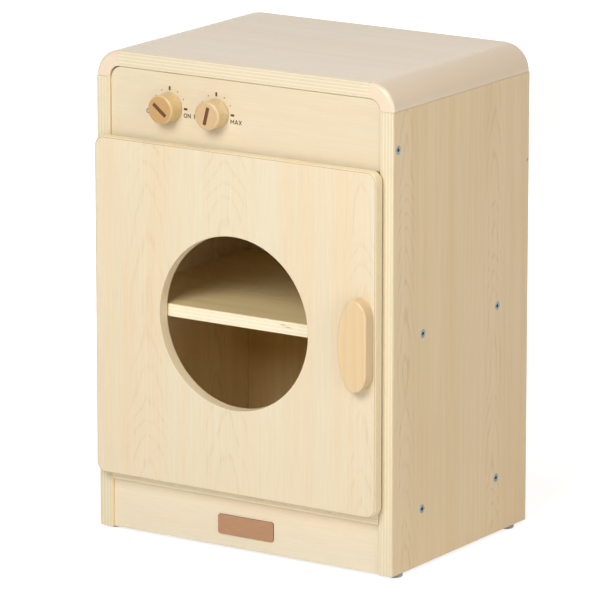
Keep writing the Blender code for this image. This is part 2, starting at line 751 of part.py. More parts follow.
def knuckle_slots(name, axis, first_kept, pivot=None):
    """Clears every other knuckle out of a leaf, for the knuckles of the other leaf."""
    pitch = HINGE_LENGTH / HINGE_KNUCKLES
    radius = BARREL_RADIUS + CUT_OVERRUN
    pairs = []
    for knuckle in range(1 - first_kept, HINGE_KNUCKLES, 2):
        low = axis.z - HINGE_LENGTH / 2 + knuckle * pitch - FIT_GAP / 2
        high = low + pitch + FIT_GAP
        if knuckle == 0:
            low -= CUT_OVERRUN
        if knuckle == HINGE_KNUCKLES - 1:
            high += CUT_OVERRUN
        near = Vector((axis.x - radius, axis.y - radius, low))
        far = Vector((axis.x + BARREL_RADIUS + FIT_GAP, axis.y + radius, high))
        pairs.append((near, far))
    return add_cutter(boxes(name, pairs), pivot)


def build_hinges(frame_holes, door_holes, pivot):
    """Two butt hinges. The frame leaf has the outer and middle knuckles, the door leaf the others."""
    for which, height in HINGE_HEIGHTS.items():
        axis = Vector((HINGE_X, HINGE_Y, height))
        matrix = Matrix.Translation(axis)
        frame_leaf = plate(which + "_hinge_frame_leaf", frame_leaf_outline(), HINGE_LENGTH, matrix)
        cut(frame_leaf, knuckle_slots(which + "_frame_slots", axis, 0), frame_holes)
        add_part(frame_leaf, "zinc_plated_steel")
        door_leaf = plate(which + "_hinge_door_leaf", door_leaf_outline(), HINGE_LENGTH, matrix)
        cut(door_leaf, knuckle_slots(which + "_door_slots", axis, 1, pivot), door_holes)
        add_part(door_leaf, "zinc_plated_steel", pivot)
        end = HINGE_LENGTH / 2 + FIT_GAP
        pin_radius = BARREL_RADIUS - LEAF_THICKNESS - FIT_GAP
        upper = rod(HINGE_PIN_HEAD_RADIUS, end + HINGE_PIN_HEAD_HEIGHT, end)[:-1] + [(pin_radius, end)]
        profile = upper + [(radius, -z) for radius, z in reversed(upper)]
        add_part(turned(which + "_hinge_pin", profile, matrix), "zinc_plated_steel")


def hinge_mortises(pivot):
    """Shallow housings in the door's back that take the door leaves."""
    low_x, high_x = DOOR_LEFT - CUT_OVERRUN, HINGE_X + DOOR_LEAF_REACH + FIT_GAP
    low_y, high_y = DOOR_BACK_Y - LEAF_THICKNESS, DOOR_BACK_Y + CUT_OVERRUN
    half = HINGE_LENGTH / 2 + FIT_GAP
    pairs = [
        ((low_x, low_y, height - half), (high_x, high_y, height + half))
        for height in HINGE_HEIGHTS.values()
    ]
    return add_cutter(boxes("hinge_mortises", pairs), pivot)


def porthole(pivot):
    """The window's cutter: a spool that flares at both faces, so that the rims come out rounded."""
    soft = PORTHOLE_EDGE_RADIUS
    rim = DOOR_THICKNESS / 2 - soft + CUT_LIFT
    end = DOOR_THICKNESS / 2 + CUT_OVERRUN
    wide = PORTHOLE_RADIUS + soft
    profile = [(0.0, end), (wide, end)]
    profile += arc((wide, rim), soft, 90, 180, SMALL_CORNER_STEPS)
    profile += arc((wide, -rim), soft, 180, 270, SMALL_CORNER_STEPS)
    profile += [(wide, -end), (0.0, -end)]
    place = Vector((DOOR_MIDDLE_X, DOOR_MIDDLE_Y, SHELF_MIDDLE))
    return add_cutter(turned("porthole", profile, pointing(TO_FRONT, place), PORTHOLE_STEPS), pivot)


def build_door_panel(holes, pivot):
    place = Vector((DOOR_MIDDLE_X, DOOR_MIDDLE_Y, DOOR_MIDDLE_Z))
    width, height = DOOR_RIGHT - DOOR_LEFT, DOOR_TOP - DOOR_BOTTOM
    outline = rounded_rectangle(width, height, DOOR_CORNER_RADIUS, DOOR_CORNER_STEPS)
    panel = plate("door_panel", outline, DOOR_THICKNESS, upright(place))
    ease(panel, DOOR_EDGE_RADIUS, lambda start, end: 1.0 if on_one_face(start, end) else 0.0, 3)
    cut(panel, porthole(pivot), hinge_mortises(pivot), *holes)
    add_part(panel, "maple_laminate", pivot)


def handle_outline():
    """A full belly towards the window and a long flat towards the door's edge."""
    half_height, flat = HANDLE_HEIGHT / 2, HANDLE_FLAT_LENGTH / 2
    belly = HANDLE_WIDTH * HANDLE_BELLY_SHARE
    shift = belly - HANDLE_WIDTH / 2
    shoulder = (HANDLE_WIDTH - belly, half_height - flat)
    upper = arc((shift, flat), shoulder, 0, 90, HANDLE_SHOULDER_STEPS)
    left = arc((shift, 0.0), (belly, half_height), 90, 270, HANDLE_BELLY_STEPS)
    lower = arc((shift, -flat), shoulder, 270, 360, HANDLE_SHOULDER_STEPS)
    return upper[:-1] + left + lower[1:]


def build_handle(holes, pivot):
    place = Vector((HANDLE_X, HANDLE_Y, SHELF_MIDDLE))
    handle = plate("door_handle", handle_outline(), HANDLE_THICKNESS, upright(place))

    def weight(start, end):
        if on_one_face(start, end):
            return 1.0 if start.z > 0 else HANDLE_BACK_EDGE_SHARE
        return 0.0

    ease(handle, HANDLE_EDGE_RADIUS, weight, 3)
    cut(handle, holes)
    add_part(handle, "oiled_beech", pivot)
    places = handle_screw_matrices()
    add_repeated("handle_screw", handle_screw_profile(), places, "zinc_plated_steel", pivot)


def build_catch(holes):
    """A magnet in a housing that has an ear above and below it for its screws."""
    end, body = CATCH_LENGTH / 2, CATCH_BODY_LENGTH / 2
    wall, ear = CATCH_WIDTH / 2, CATCH_WIDTH / 2 - CATCH_EAR_THICKNESS
    outline = [(wall, -end), (wall, end), (ear, end), (ear, body)]
    outline += [(-wall, body), (-wall, -body), (ear, -body), (ear, -end)]
    place = Vector((CATCH_X, CATCH_FRONT_Y + CATCH_DEPTH / 2, CATCH_Z))
    housing = plate("catch_housing", outline, CATCH_DEPTH, upright(place))
    x, z = MAGNET_WIDTH / 2, MAGNET_LENGTH / 2
    low = Vector((CATCH_X - x, CATCH_FRONT_Y, CATCH_Z - z))
    high = Vector((CATCH_X + x, CATCH_FRONT_Y + MAGNET_DEPTH, CATCH_Z + z))
    around = Vector((FIT_GAP, FIT_GAP, FIT_GAP))
    mouth = Vector((0.0, CUT_OVERRUN, 0.0))
    cut(housing, add_cutter(box("magnet_pocket", low - around - mouth, high + around)), holes)
    add_part(housing, "white_nylon")
    add_part(box("catch_magnet", low, high), "dark_ferrite")
    add_repeated("catch_screw", catch_screw_profile(), catch_screw_matrices(), "zinc_plated_steel")


def build_strike(pivot):
    """The steel plate on the door that the magnet holds, and its screw. Returns the screw's hole."""
    middle = DOOR_HARDWARE_Y + STRIKE_THICKNESS / 2
    face = DOOR_HARDWARE_Y + STRIKE_THICKNESS
    outline = rounded_rectangle(STRIKE_WIDTH, STRIKE_LENGTH, STRIKE_CORNER_RADIUS, SMALL_CORNER_STEPS)
    strike = plate("strike_plate", outline, STRIKE_THICKNESS, upright(Vector((CATCH_X, middle, CATCH_Z))))
    matrix = pointing(TO_BACK, Vector((CATCH_X, face, CATCH_Z)))
    hole = add_holes("strike_screw_hole", countersunk_profile(FIT_GAP), [matrix], pivot)
    cut(strike, hole)
    add_part(strike, "zinc_plated_steel", pivot)
    add_part(turned("strike_screw", countersunk_profile(), matrix), "zinc_plated_steel", pivot)
    return hole


def knob_profile():
    """A knob from its face down its waisted side to its base, then up the bore for the spindle."""
    bore, bore_top = SPINDLE_RADIUS + FIT_GAP, SPINDLE_BITE + FIT_GAP
    waist, shoulder = KNOB_LENGTH * KNOB_WAIST_SHARE, KNOB_LENGTH - KNOB_FACE_ROUND
    profile = [(0.0, KNOB_LENGTH)]
    centre = (KNOB_FACE_RADIUS - KNOB_FACE_ROUND, shoulder)
    profile += arc(centre, KNOB_FACE_ROUND, 90, 0, SMALL_CORNER_STEPS)
    for low, high, wide in ((shoulder, waist, KNOB_FACE_RADIUS), (waist, 0.0, KNOB_BASE_RADIUS)):
        for step in range(1, KNOB_SIDE_STEPS + 1):
            share = step / KNOB_SIDE_STEPS
            from_waist = share if low == waist else 1 - share
            swell = (wide - KNOB_WAIST_RADIUS) * from_waist**2
            profile.append((KNOB_WAIST_RADIUS + swell, low + (high - low) * share))
    return profile + [(bore, 0.0), (bore, bore_top), (0.0, bore_top)]


def washer_profile(thickness):
    hole, half = SPINDLE_RADIUS + FIT_GAP, thickness / 2
    return [(WASHER_RADIUS, half), (WASHER_RADIUS, -half), (hole, -half), (hole, half)]


def build_knob(name, x, angle):
    """A knob with a groove for its pointer, its spindle and its washers, on one axis."""
    pivot = add_pivot(name + "_pivot", Vector((x, HEADER_FACE_Y, KNOB_Z)))
    base = pointing(TO_FRONT, Vector((x, KNOB_BASE_Y, KNOB_Z)), angle)
    knob = turned(name, knob_profile(), base, KNOB_STEPS)
    low = (-GROOVE_WIDTH / 2, -GROOVE_LENGTH / 2, KNOB_LENGTH - GROOVE_DEPTH)
    high = (GROOVE_WIDTH / 2, GROOVE_LENGTH / 2, KNOB_LENGTH + CUT_OVERRUN)
    groove = boxes(name + "_groove", [(low, high)])
    groove.matrix_world = base
    cut(knob, add_cutter(groove, pivot))
    add_part(knob, "oiled_beech", pivot)

    seat = pointing(TO_FRONT, Vector((x, SPINDLE_HEAD_Y, KNOB_Z)), angle)
    tip, head_end = SPINDLE_HEAD_Y - KNOB_BASE_Y + SPINDLE_BITE, -SPINDLE_HEAD_HEIGHT
    profile = [
        (0.0, tip),
        (SPINDLE_RADIUS, tip),
        (SPINDLE_RADIUS, 0.0),
        (SPINDLE_HEAD_RADIUS, 0.0),
        (SPINDLE_HEAD_RADIUS, head_end / 2),
        (SPINDLE_HEAD_RADIUS / 2, head_end),
        (0.0, head_end),
    ]
    spindle = turned(name + "_spindle", profile, seat)
    socket = rod(SPINDLE_SOCKET_RADIUS, head_end + SPINDLE_SOCKET_DEPTH, head_end - CUT_OVERRUN)
    cut(spindle, add_cutter(turned(name + "_spindle_socket", socket, seat, HEXAGON), pivot))
    add_part(spindle, "zinc_plated_steel", pivot)

    rear_y = HEADER_BACK_Y + FIT_GAP + REAR_WASHER_THICKNESS / 2
    front_y = HEADER_FACE_Y - FIT_GAP - FRONT_WASHER_THICKNESS / 2
    for end, thickness, y, look in (
        ("rear", REAR_WASHER_THICKNESS, rear_y, "zinc_plated_steel"),
        ("front", FRONT_WASHER_THICKNESS, front_y, "red_fibre"),
    ):
        matrix = pointing(TO_FRONT, Vector((x, y, KNOB_Z)))
        washer = turned(f"{name}_{end}_washer", washer_profile(thickness), matrix, GLIDE_STEPS, closed=True)
        add_part(washer, look, pivot)


def build_case(hinge_holes, catch_holes):
    """The cabinet's boards and what fastens them."""
    case_holes, pin_holes = [], []
    for side_name, side in SIDES.items():
        case_name, pin_name = side_name + "_case_screw_holes", side_name + "_back_pin_hole"
        case_hole = add_holes(case_name, case_screw_profile(FIT_GAP), case_screw_matrices(side))
        pin_hole = add_holes(pin_name, pin_profile(FIT_GAP), pin_matrices(side))
        nail_radius = GLIDE_NAIL_RADIUS + FIT_GAP
        nail = rod(nail_radius, GLIDE_HEIGHT + GLIDE_NAIL_LENGTH + FIT_GAP, 0.0)
        nail_holes = add_holes(side_name + "_glide_holes", nail, glide_matrices(side))
        hardware_holes = hinge_holes if side < 0 else catch_holes
        build_side_panel(side_name, side, [case_hole, pin_hole, nail_holes, hardware_holes])
        build_corner_moulding(side_name, side)
        build_case_screws(side_name, side)
        build_glides(side_name, side)
        add_part(turned(side_name + "_back_pin", pin_profile(), pin_matrices(side)[0]), "zinc_plated_steel")
        case_holes.append(case_hole)
        pin_holes.append(pin_hole)
    spindle_hole = rod(SPINDLE_RADIUS + FIT_GAP, INNER_BOARD, -INNER_BOARD)
    spindle_places = [Vector((x, HEADER_MIDDLE_Y, KNOB_Z)) for x in (KNOB_LEFT_X, KNOB_RIGHT_X)]
    spindle_matrices = [pointing(TO_FRONT, place) for place in spindle_places]
    spindle_holes = add_holes("spindle_holes", spindle_hole, spindle_matrices)
    board_back, half = BACK_BOARD_Y - FIT_GAP, INNER_BOARD / 2
    plinth_y = FRONT_Y + PLINTH_RECESS
    build_top_panel()
    build_control_panel([*case_holes, spindle_holes])
    build_board("shelf", (FRONT_Y, SHELF_MIDDLE - half), (board_back, SHELF_MIDDLE + half), case_holes)
    build_board("floor_panel", (FRONT_Y, FLOOR_BOTTOM), (board_back, FLOOR_TOP), case_holes)
    build_board("plinth", (plinth_y, PANEL_BOTTOM), (plinth_y + INNER_BOARD, FLOOR_BOTTOM - FIT_GAP), [])
    build_back_panel(pin_holes)


def build_door():
    """The door and all that swings with it. Returns the hinge's holes in the cabinet."""
    pivot = add_pivot("door_pivot", Vector((HINGE_X, HINGE_Y, PANEL_BOTTOM)))
    steel = "zinc_plated_steel"
    frame_face, door_face = FRONT_Y - FIT_GAP - LEAF_THICKNESS, DOOR_HARDWARE_Y
    frame_places = hinge_screw_matrices(TO_FRONT, FRAME_LEAF_SCREW_OFFSET, frame_face)
    door_places = hinge_screw_matrices(TO_BACK, DOOR_LEAF_SCREW_OFFSET, door_face)
    frame_holes = add_holes("hinge_frame_screw_holes", countersunk_profile(FIT_GAP), frame_places)
    door_holes = add_holes("hinge_door_screw_holes", countersunk_profile(FIT_GAP), door_places, pivot)
    build_hinges(frame_holes, door_holes, pivot)
    add_repeated("hinge_frame_screw", countersunk_profile(), frame_places, steel)
    add_repeated("hinge_door_screw", countersunk_profile(), door_places, steel, pivot)
    strike_hole = build_strike(pivot)
    handle_places = handle_screw_matrices()
    handle_holes = add_holes("handle_screw_holes", handle_screw_profile(FIT_GAP), handle_places, pivot)
    build_handle(handle_holes, pivot)
    build_door_panel([door_holes, strike_hole, handle_holes], pivot)
    return frame_holes


clear_objects()
PARTS = add_collection("toy_washing_machine")
CUTTERS = add_collection("cutters")
hinge_holes = build_door()
catch_holes = add_holes("catch_screw_holes", catch_screw_profile(FIT_GAP), catch_screw_matrices())
build_catch(catch_holes)
build_case(hinge_holes, catch_holes)
build_knob("knob_left", KNOB_LEFT_X, KNOB_LEFT_ANGLE)
build_knob("knob_right", KNOB_RIGHT_X, KNOB_RIGHT_ANGLE)
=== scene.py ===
# %% [markdown]
# # A toy washing machine in Blender: finishes, fine shapes, light and camera
#
# The cabinet stands on the floor with its door towards -Y, and +Z is up. Lengths are in metres. The packed
# part is a frame of plain solids, and this lesson dresses it. Boards that already have their real shape keep
# it and get a finish. Rounded, turned and bent pieces are made again here with smoother surfaces, in the same
# places.

import json
import math

import bmesh
import bpy
from mathutils import Matrix, Vector

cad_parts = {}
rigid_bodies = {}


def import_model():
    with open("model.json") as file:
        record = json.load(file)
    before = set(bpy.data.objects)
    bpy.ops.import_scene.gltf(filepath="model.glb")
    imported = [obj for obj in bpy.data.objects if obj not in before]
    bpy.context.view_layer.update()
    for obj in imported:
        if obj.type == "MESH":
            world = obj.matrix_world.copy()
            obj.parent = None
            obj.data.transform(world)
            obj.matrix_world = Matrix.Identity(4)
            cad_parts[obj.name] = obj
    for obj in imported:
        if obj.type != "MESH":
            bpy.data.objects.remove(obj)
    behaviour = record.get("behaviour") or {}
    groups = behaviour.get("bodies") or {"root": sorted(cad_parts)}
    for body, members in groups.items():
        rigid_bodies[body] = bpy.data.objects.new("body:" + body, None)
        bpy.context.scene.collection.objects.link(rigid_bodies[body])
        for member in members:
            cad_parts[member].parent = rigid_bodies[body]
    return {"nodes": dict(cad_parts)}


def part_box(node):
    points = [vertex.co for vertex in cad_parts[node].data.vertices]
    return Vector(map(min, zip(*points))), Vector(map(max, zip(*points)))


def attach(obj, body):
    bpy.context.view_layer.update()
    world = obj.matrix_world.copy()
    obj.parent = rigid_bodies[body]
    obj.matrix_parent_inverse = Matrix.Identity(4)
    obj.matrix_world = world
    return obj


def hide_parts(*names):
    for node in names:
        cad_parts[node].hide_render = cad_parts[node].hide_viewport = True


for item in list(bpy.data.objects):
    bpy.data.objects.remove(item, do_unlink=True)
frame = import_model()
bpy.context.view_layer.update()

# %% [markdown]
# ## Small tools for finishes
#
# A finish is a tree of nodes. Typing out each node and link takes many lines, so one helper adds a node, sets
# it up, links its inputs and gives back the output that the next node needs. Colours are written as sRGB hex,
# as a paint chart gives them, and one function turns them into the linear values that a shader takes. A metal
# keeps the shader's own index of refraction, and everything else gets its real one.

# %% Colour and node helpers
def linear(hexadecimal):
    """An sRGB colour such as F0E0C4 as linear values."""
    shares = [int(hexadecimal[start : start + 2], 16) / 255 for start in (0, 2, 4)]
    return (*[s / 12.92 if s <= 0.04045 else ((s + 0.055) / 1.055) ** 2.4 for s in shares], 1.0)


def add(tree, kind, inputs=None, output=0, **settings):
    """Adds a node, sets or links its inputs, and returns one of its outputs."""
    node = tree.nodes.new("ShaderNode" + kind)
    for name, value in settings.items():
        setattr(node, name, value)
    for socket, value in (inputs or {}).items():
        if isinstance(value, bpy.types.NodeSocket):
            tree.links.new(value, node.inputs[socket])
        else:
            node.inputs[socket].default_value = value
    return node if output is None else node.outputs[output]


def new_finish(name, roughness, metallic=0.0, ior=1.5):
    """A material with its shader's plain values set. Returns the material, its tree and the shader."""
    finish = bpy.data.materials.new(name)
    finish.use_nodes = True
    shader = finish.node_tree.nodes["Principled BSDF"]
    shader.inputs["Roughness"].default_value = roughness
    shader.inputs["Metallic"].default_value = metallic
    if not metallic:
        shader.inputs["IOR"].default_value = ior
    return finish, finish.node_tree, shader


def stretched(tree, sizes, centre=(0.0, 0.0, 0.0)):
    """The piece's own coordinates, measured from a place, in units of a size in mm along each axis."""
    place = add(tree, "TexCoord", output="Object")
    away = add(tree, "VectorMath", {0: place, 1: centre}, operation="SUBTRACT")
    scale = [1000.0 / size for size in sizes]
    return add(tree, "VectorMath", {0: away, 1: scale}, operation="MULTIPLY")


def give_finish(node, finish):
    """Puts a finish in place of the plain one on a solid that keeps its shape."""
    slots = frame["nodes"][node].data.materials
    slots.clear()
    slots.append(finish)
    print(node, "is finished with", finish.name)


print("Helpers ready")

# %% [markdown]
# ## Maple-faced laminate plywood
#
# The boards are plywood with a pressed laminate face that is printed like maple. A flat picture on each side
# would go wrong at the edges, where real plywood shows its layers. So the finish is solid: it works out how
# deep each point lies in the board, and every edge, rounding and drilled hole then shows the right layers by
# itself.
#
# The print comes first. It has fine straight grain, broad soft bands and the tall nested arches of flat-sawn
# maple, called flames. A flame is drawn as the growth rings are cut by a board: distance from the middle of
# the flame, plus a climb and a slow wander along the grain, counted off in rings. The climb makes every arch
# point up. A place in the board is given as three distances in mm: across the grain, along it and through
# the board.

# %% Grain and flames of the printed face
# Sizes in mm across the grain, along it and through the board. Real fibres are under 0.1 mm wide, so they
# are drawn 1 mm wide to show.
BANDS = (30.0, 600.0, 30.0)
STREAKS = (3.0, 160.0, 30.0)
FIBRES = (1.0, 45.0, 3.0)
RIPPLES = (9.0, 60.0, 30.0)
# A flame's rings wander by up to 5 in 210 mm, climb by one in 38 mm and ripple by 0.8 of one.
WANDER_LENGTH, WANDER_RINGS = 210.0, 5.0
CLIMB_LENGTH = 38.0
RIPPLE_RINGS = 0.8


def grain(tree, place, sizes, seed, detail=2.0):
    """Noise stretched to sizes in mm across the grain, along it and through the board."""
    scaled = [
        add(tree, "Math", {0: value, 1: 1 / size, 2: seed}, operation="MULTIPLY_ADD")
        for value, size in zip(place, sizes)
    ]
    point = add(tree, "CombineXYZ", dict(enumerate(scaled)))
    return add(tree, "TexNoise", {"Vector": point, "Scale": 1.0, "Detail": detail, "Roughness": 0.55})


def flame_lines(tree, place, flame, number, seed, strength):
    """How strongly the ring lines of one flame show. A flame is its middle and half its width in mm."""
    across, along, _ = place
    offset = add(tree, "Math", {0: across, 1: flame[0]}, operation="SUBTRACT")
    side = add(tree, "Math", {0: offset, 1: 1 / flame[1]}, operation="MULTIPLY")
    square = add(tree, "Math", {0: side, 1: side, 2: 1.0}, operation="MULTIPLY_ADD")
    reach = add(tree, "Math", {0: square}, operation="SQRT")
    start = seed + 7.3 * number
    slow = add(tree, "Math", {0: along, 1: 1 / WANDER_LENGTH, 2: start}, operation="MULTIPLY_ADD")
    drift = add(tree, "TexNoise", {"W": slow, "Scale": 1.0, "Detail": 2.0}, noise_dimensions="1D")
    rings = add(tree, "Math", {0: drift, 1: WANDER_RINGS, 2: reach}, operation="MULTIPLY_ADD")
    rings = add(tree, "Math", {0: along, 1: 1 / CLIMB_LENGTH, 2: rings}, operation="MULTIPLY_ADD")
    ripple = grain(tree, place, RIPPLES, seed + 23.0 + number)
    rings = add(tree, "Math", {0: ripple, 1: RIPPLE_RINGS, 2: rings}, operation="MULTIPLY_ADD")
    edge = add(tree, "Math", {0: rings, 1: 0.5}, operation="PINGPONG")
    ring_line = add(tree, "MapRange", {0: edge, 1: 0.32, 2: 0.5}, interpolation_type="SMOOTHSTEP")
    near = add(tree, "Math", {0: side}, operation="ABSOLUTE")
    limits = {0: near, 1: 1.2, 2: 3.4, 3: strength, 4: 0.0}
    fade = add(tree, "MapRange", limits, interpolation_type="SMOOTHSTEP")
    return add(tree, "Math", {0: ring_line, 1: fade}, operation="MULTIPLY")


def printed_face(tree, place, seed, tones, flames, strength):
    """The colour of the printed face, and the value of its fibres."""
    pale, warm, line = (linear(tone) for tone in tones)
    bands = add(tree, "MapRange", {0: grain(tree, place, BANDS, seed), 1: 0.35, 2: 0.65})
    streaks = add(tree, "MapRange", {0: grain(tree, place, STREAKS, seed + 5.0, 3.0), 1: 0.35, 2: 0.65})
    fibres = add(tree, "MapRange", {0: grain(tree, place, FIBRES, seed + 11.0, 3.0), 1: 0.3, 2: 0.7})
    face = add(tree, "Mix", {"Factor": bands, 6: pale, 7: warm}, 2, data_type="RGBA")
    faint = add(tree, "MapRange", {0: streaks, 3: 0.0, 4: 0.12})
    face = add(tree, "Mix", {"Factor": faint, 6: face, 7: line}, 2, data_type="RGBA")
    shade = add(tree, "MapRange", {0: fibres, 3: 0.955, 4: 1.015})
    face = add(tree, "VectorMath", {0: face, "Scale": shade}, operation="SCALE")
    for number, flame in enumerate(flames):
        lines = flame_lines(tree, place, flame, number, seed, strength)
        amount = add(tree, "Math", {0: lines, 1: streaks}, operation="MULTIPLY")
        face = add(tree, "Mix", {"Factor": amount, 6: face, 7: line}, 2, data_type="RGBA")
    return face, fibres


print("Flames climb one ring in", CLIMB_LENGTH, "mm")

# %% [markdown]
# Under the print lie the plies: pale ones along the board and darker ones across it, with thin glue lines
# between them. Which ply a point is in follows from its depth alone. A red pin knot is a short, low spot in
# one ply, so it is drawn by its distance from a place along the board and through it.

# %% Plies, glue lines and knots
PORES = (7.0, 7.0, 0.35)
GLUE_SHARE = 0.12
GLUE_STRENGTH = 0.5
KNOT_LENGTH, KNOT_HEIGHT = 5.0, 1.1
KNOT_TONE = "CE8A55"
KNOT_STRENGTH = 0.6
LAST_FACE_MARGIN = 0.002


def stacked_plies(tree, place, seed, thickness, plies, layers, knots):
    """The colour of the plies, and the value of their pores. Layers are the tones along, across and glued."""
    lengthwise, crosswise, glued = (linear(tone) for tone in layers)
    _, along, depth = place
    ply = (thickness + LAST_FACE_MARGIN) / plies
    layer = add(tree, "Math", {0: depth, 1: 1 / ply}, operation="MULTIPLY")
    turn = add(tree, "Math", {0: layer, 1: 2.0}, operation="FLOORED_MODULO")
    crossed = add(tree, "Math", {0: turn, 1: 1.0}, operation="GREATER_THAN")
    pores = grain(tree, place, PORES, seed + 41.0)
    wood = add(tree, "Mix", {"Factor": crossed, 6: lengthwise, 7: crosswise}, 2, data_type="RGBA")
    tone = add(tree, "MapRange", {0: pores, 1: 0.3, 2: 0.7, 3: 0.95, 4: 1.03})
    wood = add(tree, "VectorMath", {0: wood, "Scale": tone}, operation="SCALE")
    seam = add(tree, "Math", {0: layer, 1: 0.5}, operation="PINGPONG")
    glue = add(tree, "MapRange", {0: seam, 1: 0.0, 2: GLUE_SHARE, 3: GLUE_STRENGTH, 4: 0.0})
    wood = add(tree, "Mix", {"Factor": glue, 6: wood, 7: glued}, 2, data_type="RGBA")
    for spot_along, spot_deep in knots:
        long = {0: along, 1: 1 / KNOT_LENGTH, 2: -spot_along / KNOT_LENGTH}
        tall = {0: depth, 1: 1 / KNOT_HEIGHT, 2: -spot_deep / KNOT_HEIGHT}
        away = [add(tree, "Math", inputs, operation="MULTIPLY_ADD") for inputs in (long, tall)]
        spot = add(tree, "CombineXYZ", dict(enumerate(away)))
        reach = add(tree, "VectorMath", {0: spot}, "Value", operation="LENGTH")
        amount = add(tree, "MapRange", {0: reach, 1: 0.3, 2: 1.2, 3: KNOT_STRENGTH, 4: 0.0})
        wood = add(tree, "Mix", {"Factor": amount, 6: wood, 7: linear(KNOT_TONE)}, 2, data_type="RGBA")
    return wood, pores


print("Glue lines are", GLUE_SHARE, "of a ply deep on each side of a seam")

# %% [markdown]
# The outermost third of a millimetre of a board is the printed face, and a thin line of dark resin lies just
# under it. The lacquered face is smooth and shines softly, while the sawn layers are dull. The eye reads that
# as a satin board with dry edges. The fibres stand a few hundredths of a millimetre proud, which a bump gives.

# %% The plywood finish
LAMINATE_DEPTH = 0.35
RESIN_STRENGTH = 0.7


def laminate_plywood(node, axes, plies, tones, layers, flames, strength, knots=()):
    """Plywood for one board. Axes name the directions across the grain, along it and through the board."""
    finish, tree, shader = new_finish("maple-faced laminate plywood, " + node, 0.45)
    low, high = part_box(node)
    through = "XYZ".index(axes[2])
    thickness = (high[through] - low[through]) * 1000
    seed = sum(ord(letter) for letter in node) % 97
    distances = add(tree, "SeparateXYZ", {0: stretched(tree, (1.0, 1.0, 1.0), low)}, None).outputs
    place = [distances[axis] for axis in axes]
    face, fibres = printed_face(tree, place, seed, tones, flames, strength)
    wood, pores = stacked_plies(tree, place, seed, thickness, plies, layers, knots)

    far = add(tree, "Math", {0: thickness, 1: place[2]}, operation="SUBTRACT")
    shallow = add(tree, "Math", {0: place[2], 1: far}, operation="MINIMUM")
    inside = add(tree, "Math", {0: shallow, 1: LAMINATE_DEPTH}, operation="GREATER_THAN")
    limits = {1: 2 * LAMINATE_DEPTH, 2: 3 * LAMINATE_DEPTH, 3: RESIN_STRENGTH, 4: 0.0}
    resin = add(tree, "MapRange", {0: shallow, **limits})
    wood = add(tree, "Mix", {"Factor": resin, 6: wood, 7: linear(layers[2])}, 2, data_type="RGBA")
    colour = add(tree, "Mix", {"Factor": inside, 6: face, 7: wood}, 2, data_type="RGBA")
    tree.links.new(colour, shader.inputs["Base Color"])

    sheen = add(tree, "MapRange", {0: fibres, 3: 0.40, 4: 0.48})
    sawn = add(tree, "Mix", {"Factor": inside, 2: sheen, 3: 0.62}, 0)
    tree.links.new(sawn, shader.inputs["Roughness"])
    relief = add(tree, "Mix", {"Factor": inside, 2: fibres, 3: pores}, 0)
    bump = add(tree, "Bump", {"Strength": 0.25, "Distance": 0.00004, "Height": relief})
    tree.links.new(bump, shader.inputs["Normal"])
    return finish


print("The printed face is", LAMINATE_DEPTH, "mm deep")

# %% [markdown]
# Each board gets its own copy of the finish, because its grain and its layers run their own way. The uprights
# have their grain upright, and the level boards and the control panel have it level. The top is a little
# greyer, as a painted sheen, and the left side, the shelf, the floor panel and the back are brighter and
# yellower, as painted light inside the cabinet. A ply in the shelf's front edge has a small red pin knot, drawn
# as two long spots. Tones are the print's pale colour, its warm one and its line. Plies are the colour along
# the board, the one across it and the glue's.

# %% Finish the boards
FRONT_TONES = ("E3D7BB", "E3D2B4", "D6C098")
PLINTH_TONES = ("E8DDC5", "E9D9BF", "DBC7A2")
SIDE_TONES = ("EFD9B4", "ECD2A9", "C4A06A")
# The left side is paler than the right, as painted light on its shaded inner face.
LEFT_TONES_WITH_PAINTED_LIGHT = ("FCEAC2", "F5DDAF", "C79E64")
# The top is paler and greyer than the front, as a painted sheen of the white surround seen at a slant.
TOP_TONES_WITH_PAINTED_SHEEN = ("F0E4D2", "EDDECA", "DCCBB1")
# The shelf and the back are brighter and yellower, as painted light through the window and its warm bounce.
SHELF_TONES_WITH_PAINTED_LIGHT = ("FFEAB6", "FADE9F", "CDA160")
BACK_TONES_WITH_PAINTED_LIGHT = ("FBE4B0", "F2D498", "C29656")
CASE_PLIES = ("E8DDC4", "E1D3B1", "CDBB8C")
BRIGHT_PLIES = ("FBF0D8", "F5E8C9", "DCCAA2")
SIDE_FLAMES = ((27.0, 8.0), (214.0, 8.0))
SHELF_KNOTS = ((236.0, 10.5), (243.0, 8.6))
BOARDS = {
    "left_side_panel": ("YZX", 9, LEFT_TONES_WITH_PAINTED_LIGHT, CASE_PLIES, SIDE_FLAMES, 0.38),
    "right_side_panel": ("YZX", 9, SIDE_TONES, CASE_PLIES, SIDE_FLAMES, 0.38),
    "top_panel": ("YXZ", 9, TOP_TONES_WITH_PAINTED_SHEEN, CASE_PLIES, (), 0.0),
    "control_panel": ("ZXY", 7, FRONT_TONES, CASE_PLIES, (), 0.0),
    "shelf": ("YXZ", 7, SHELF_TONES_WITH_PAINTED_LIGHT, BRIGHT_PLIES, ((110.0, 16.0),), 0.25, SHELF_KNOTS),
    "floor_panel": ("YXZ", 7, SHELF_TONES_WITH_PAINTED_LIGHT, BRIGHT_PLIES, ((150.0, 15.0),), 0.5),
    "plinth": ("ZXY", 7, PLINTH_TONES, CASE_PLIES, (), 0.0),
    "back_panel": ("XZY", 5, BACK_TONES_WITH_PAINTED_LIGHT, CASE_PLIES, ((120.0, 9.0), (290.0, 9.0)), 0.6),
}
for node, recipe in BOARDS.items():
    give_finish(node, laminate_plywood(node, *recipe))

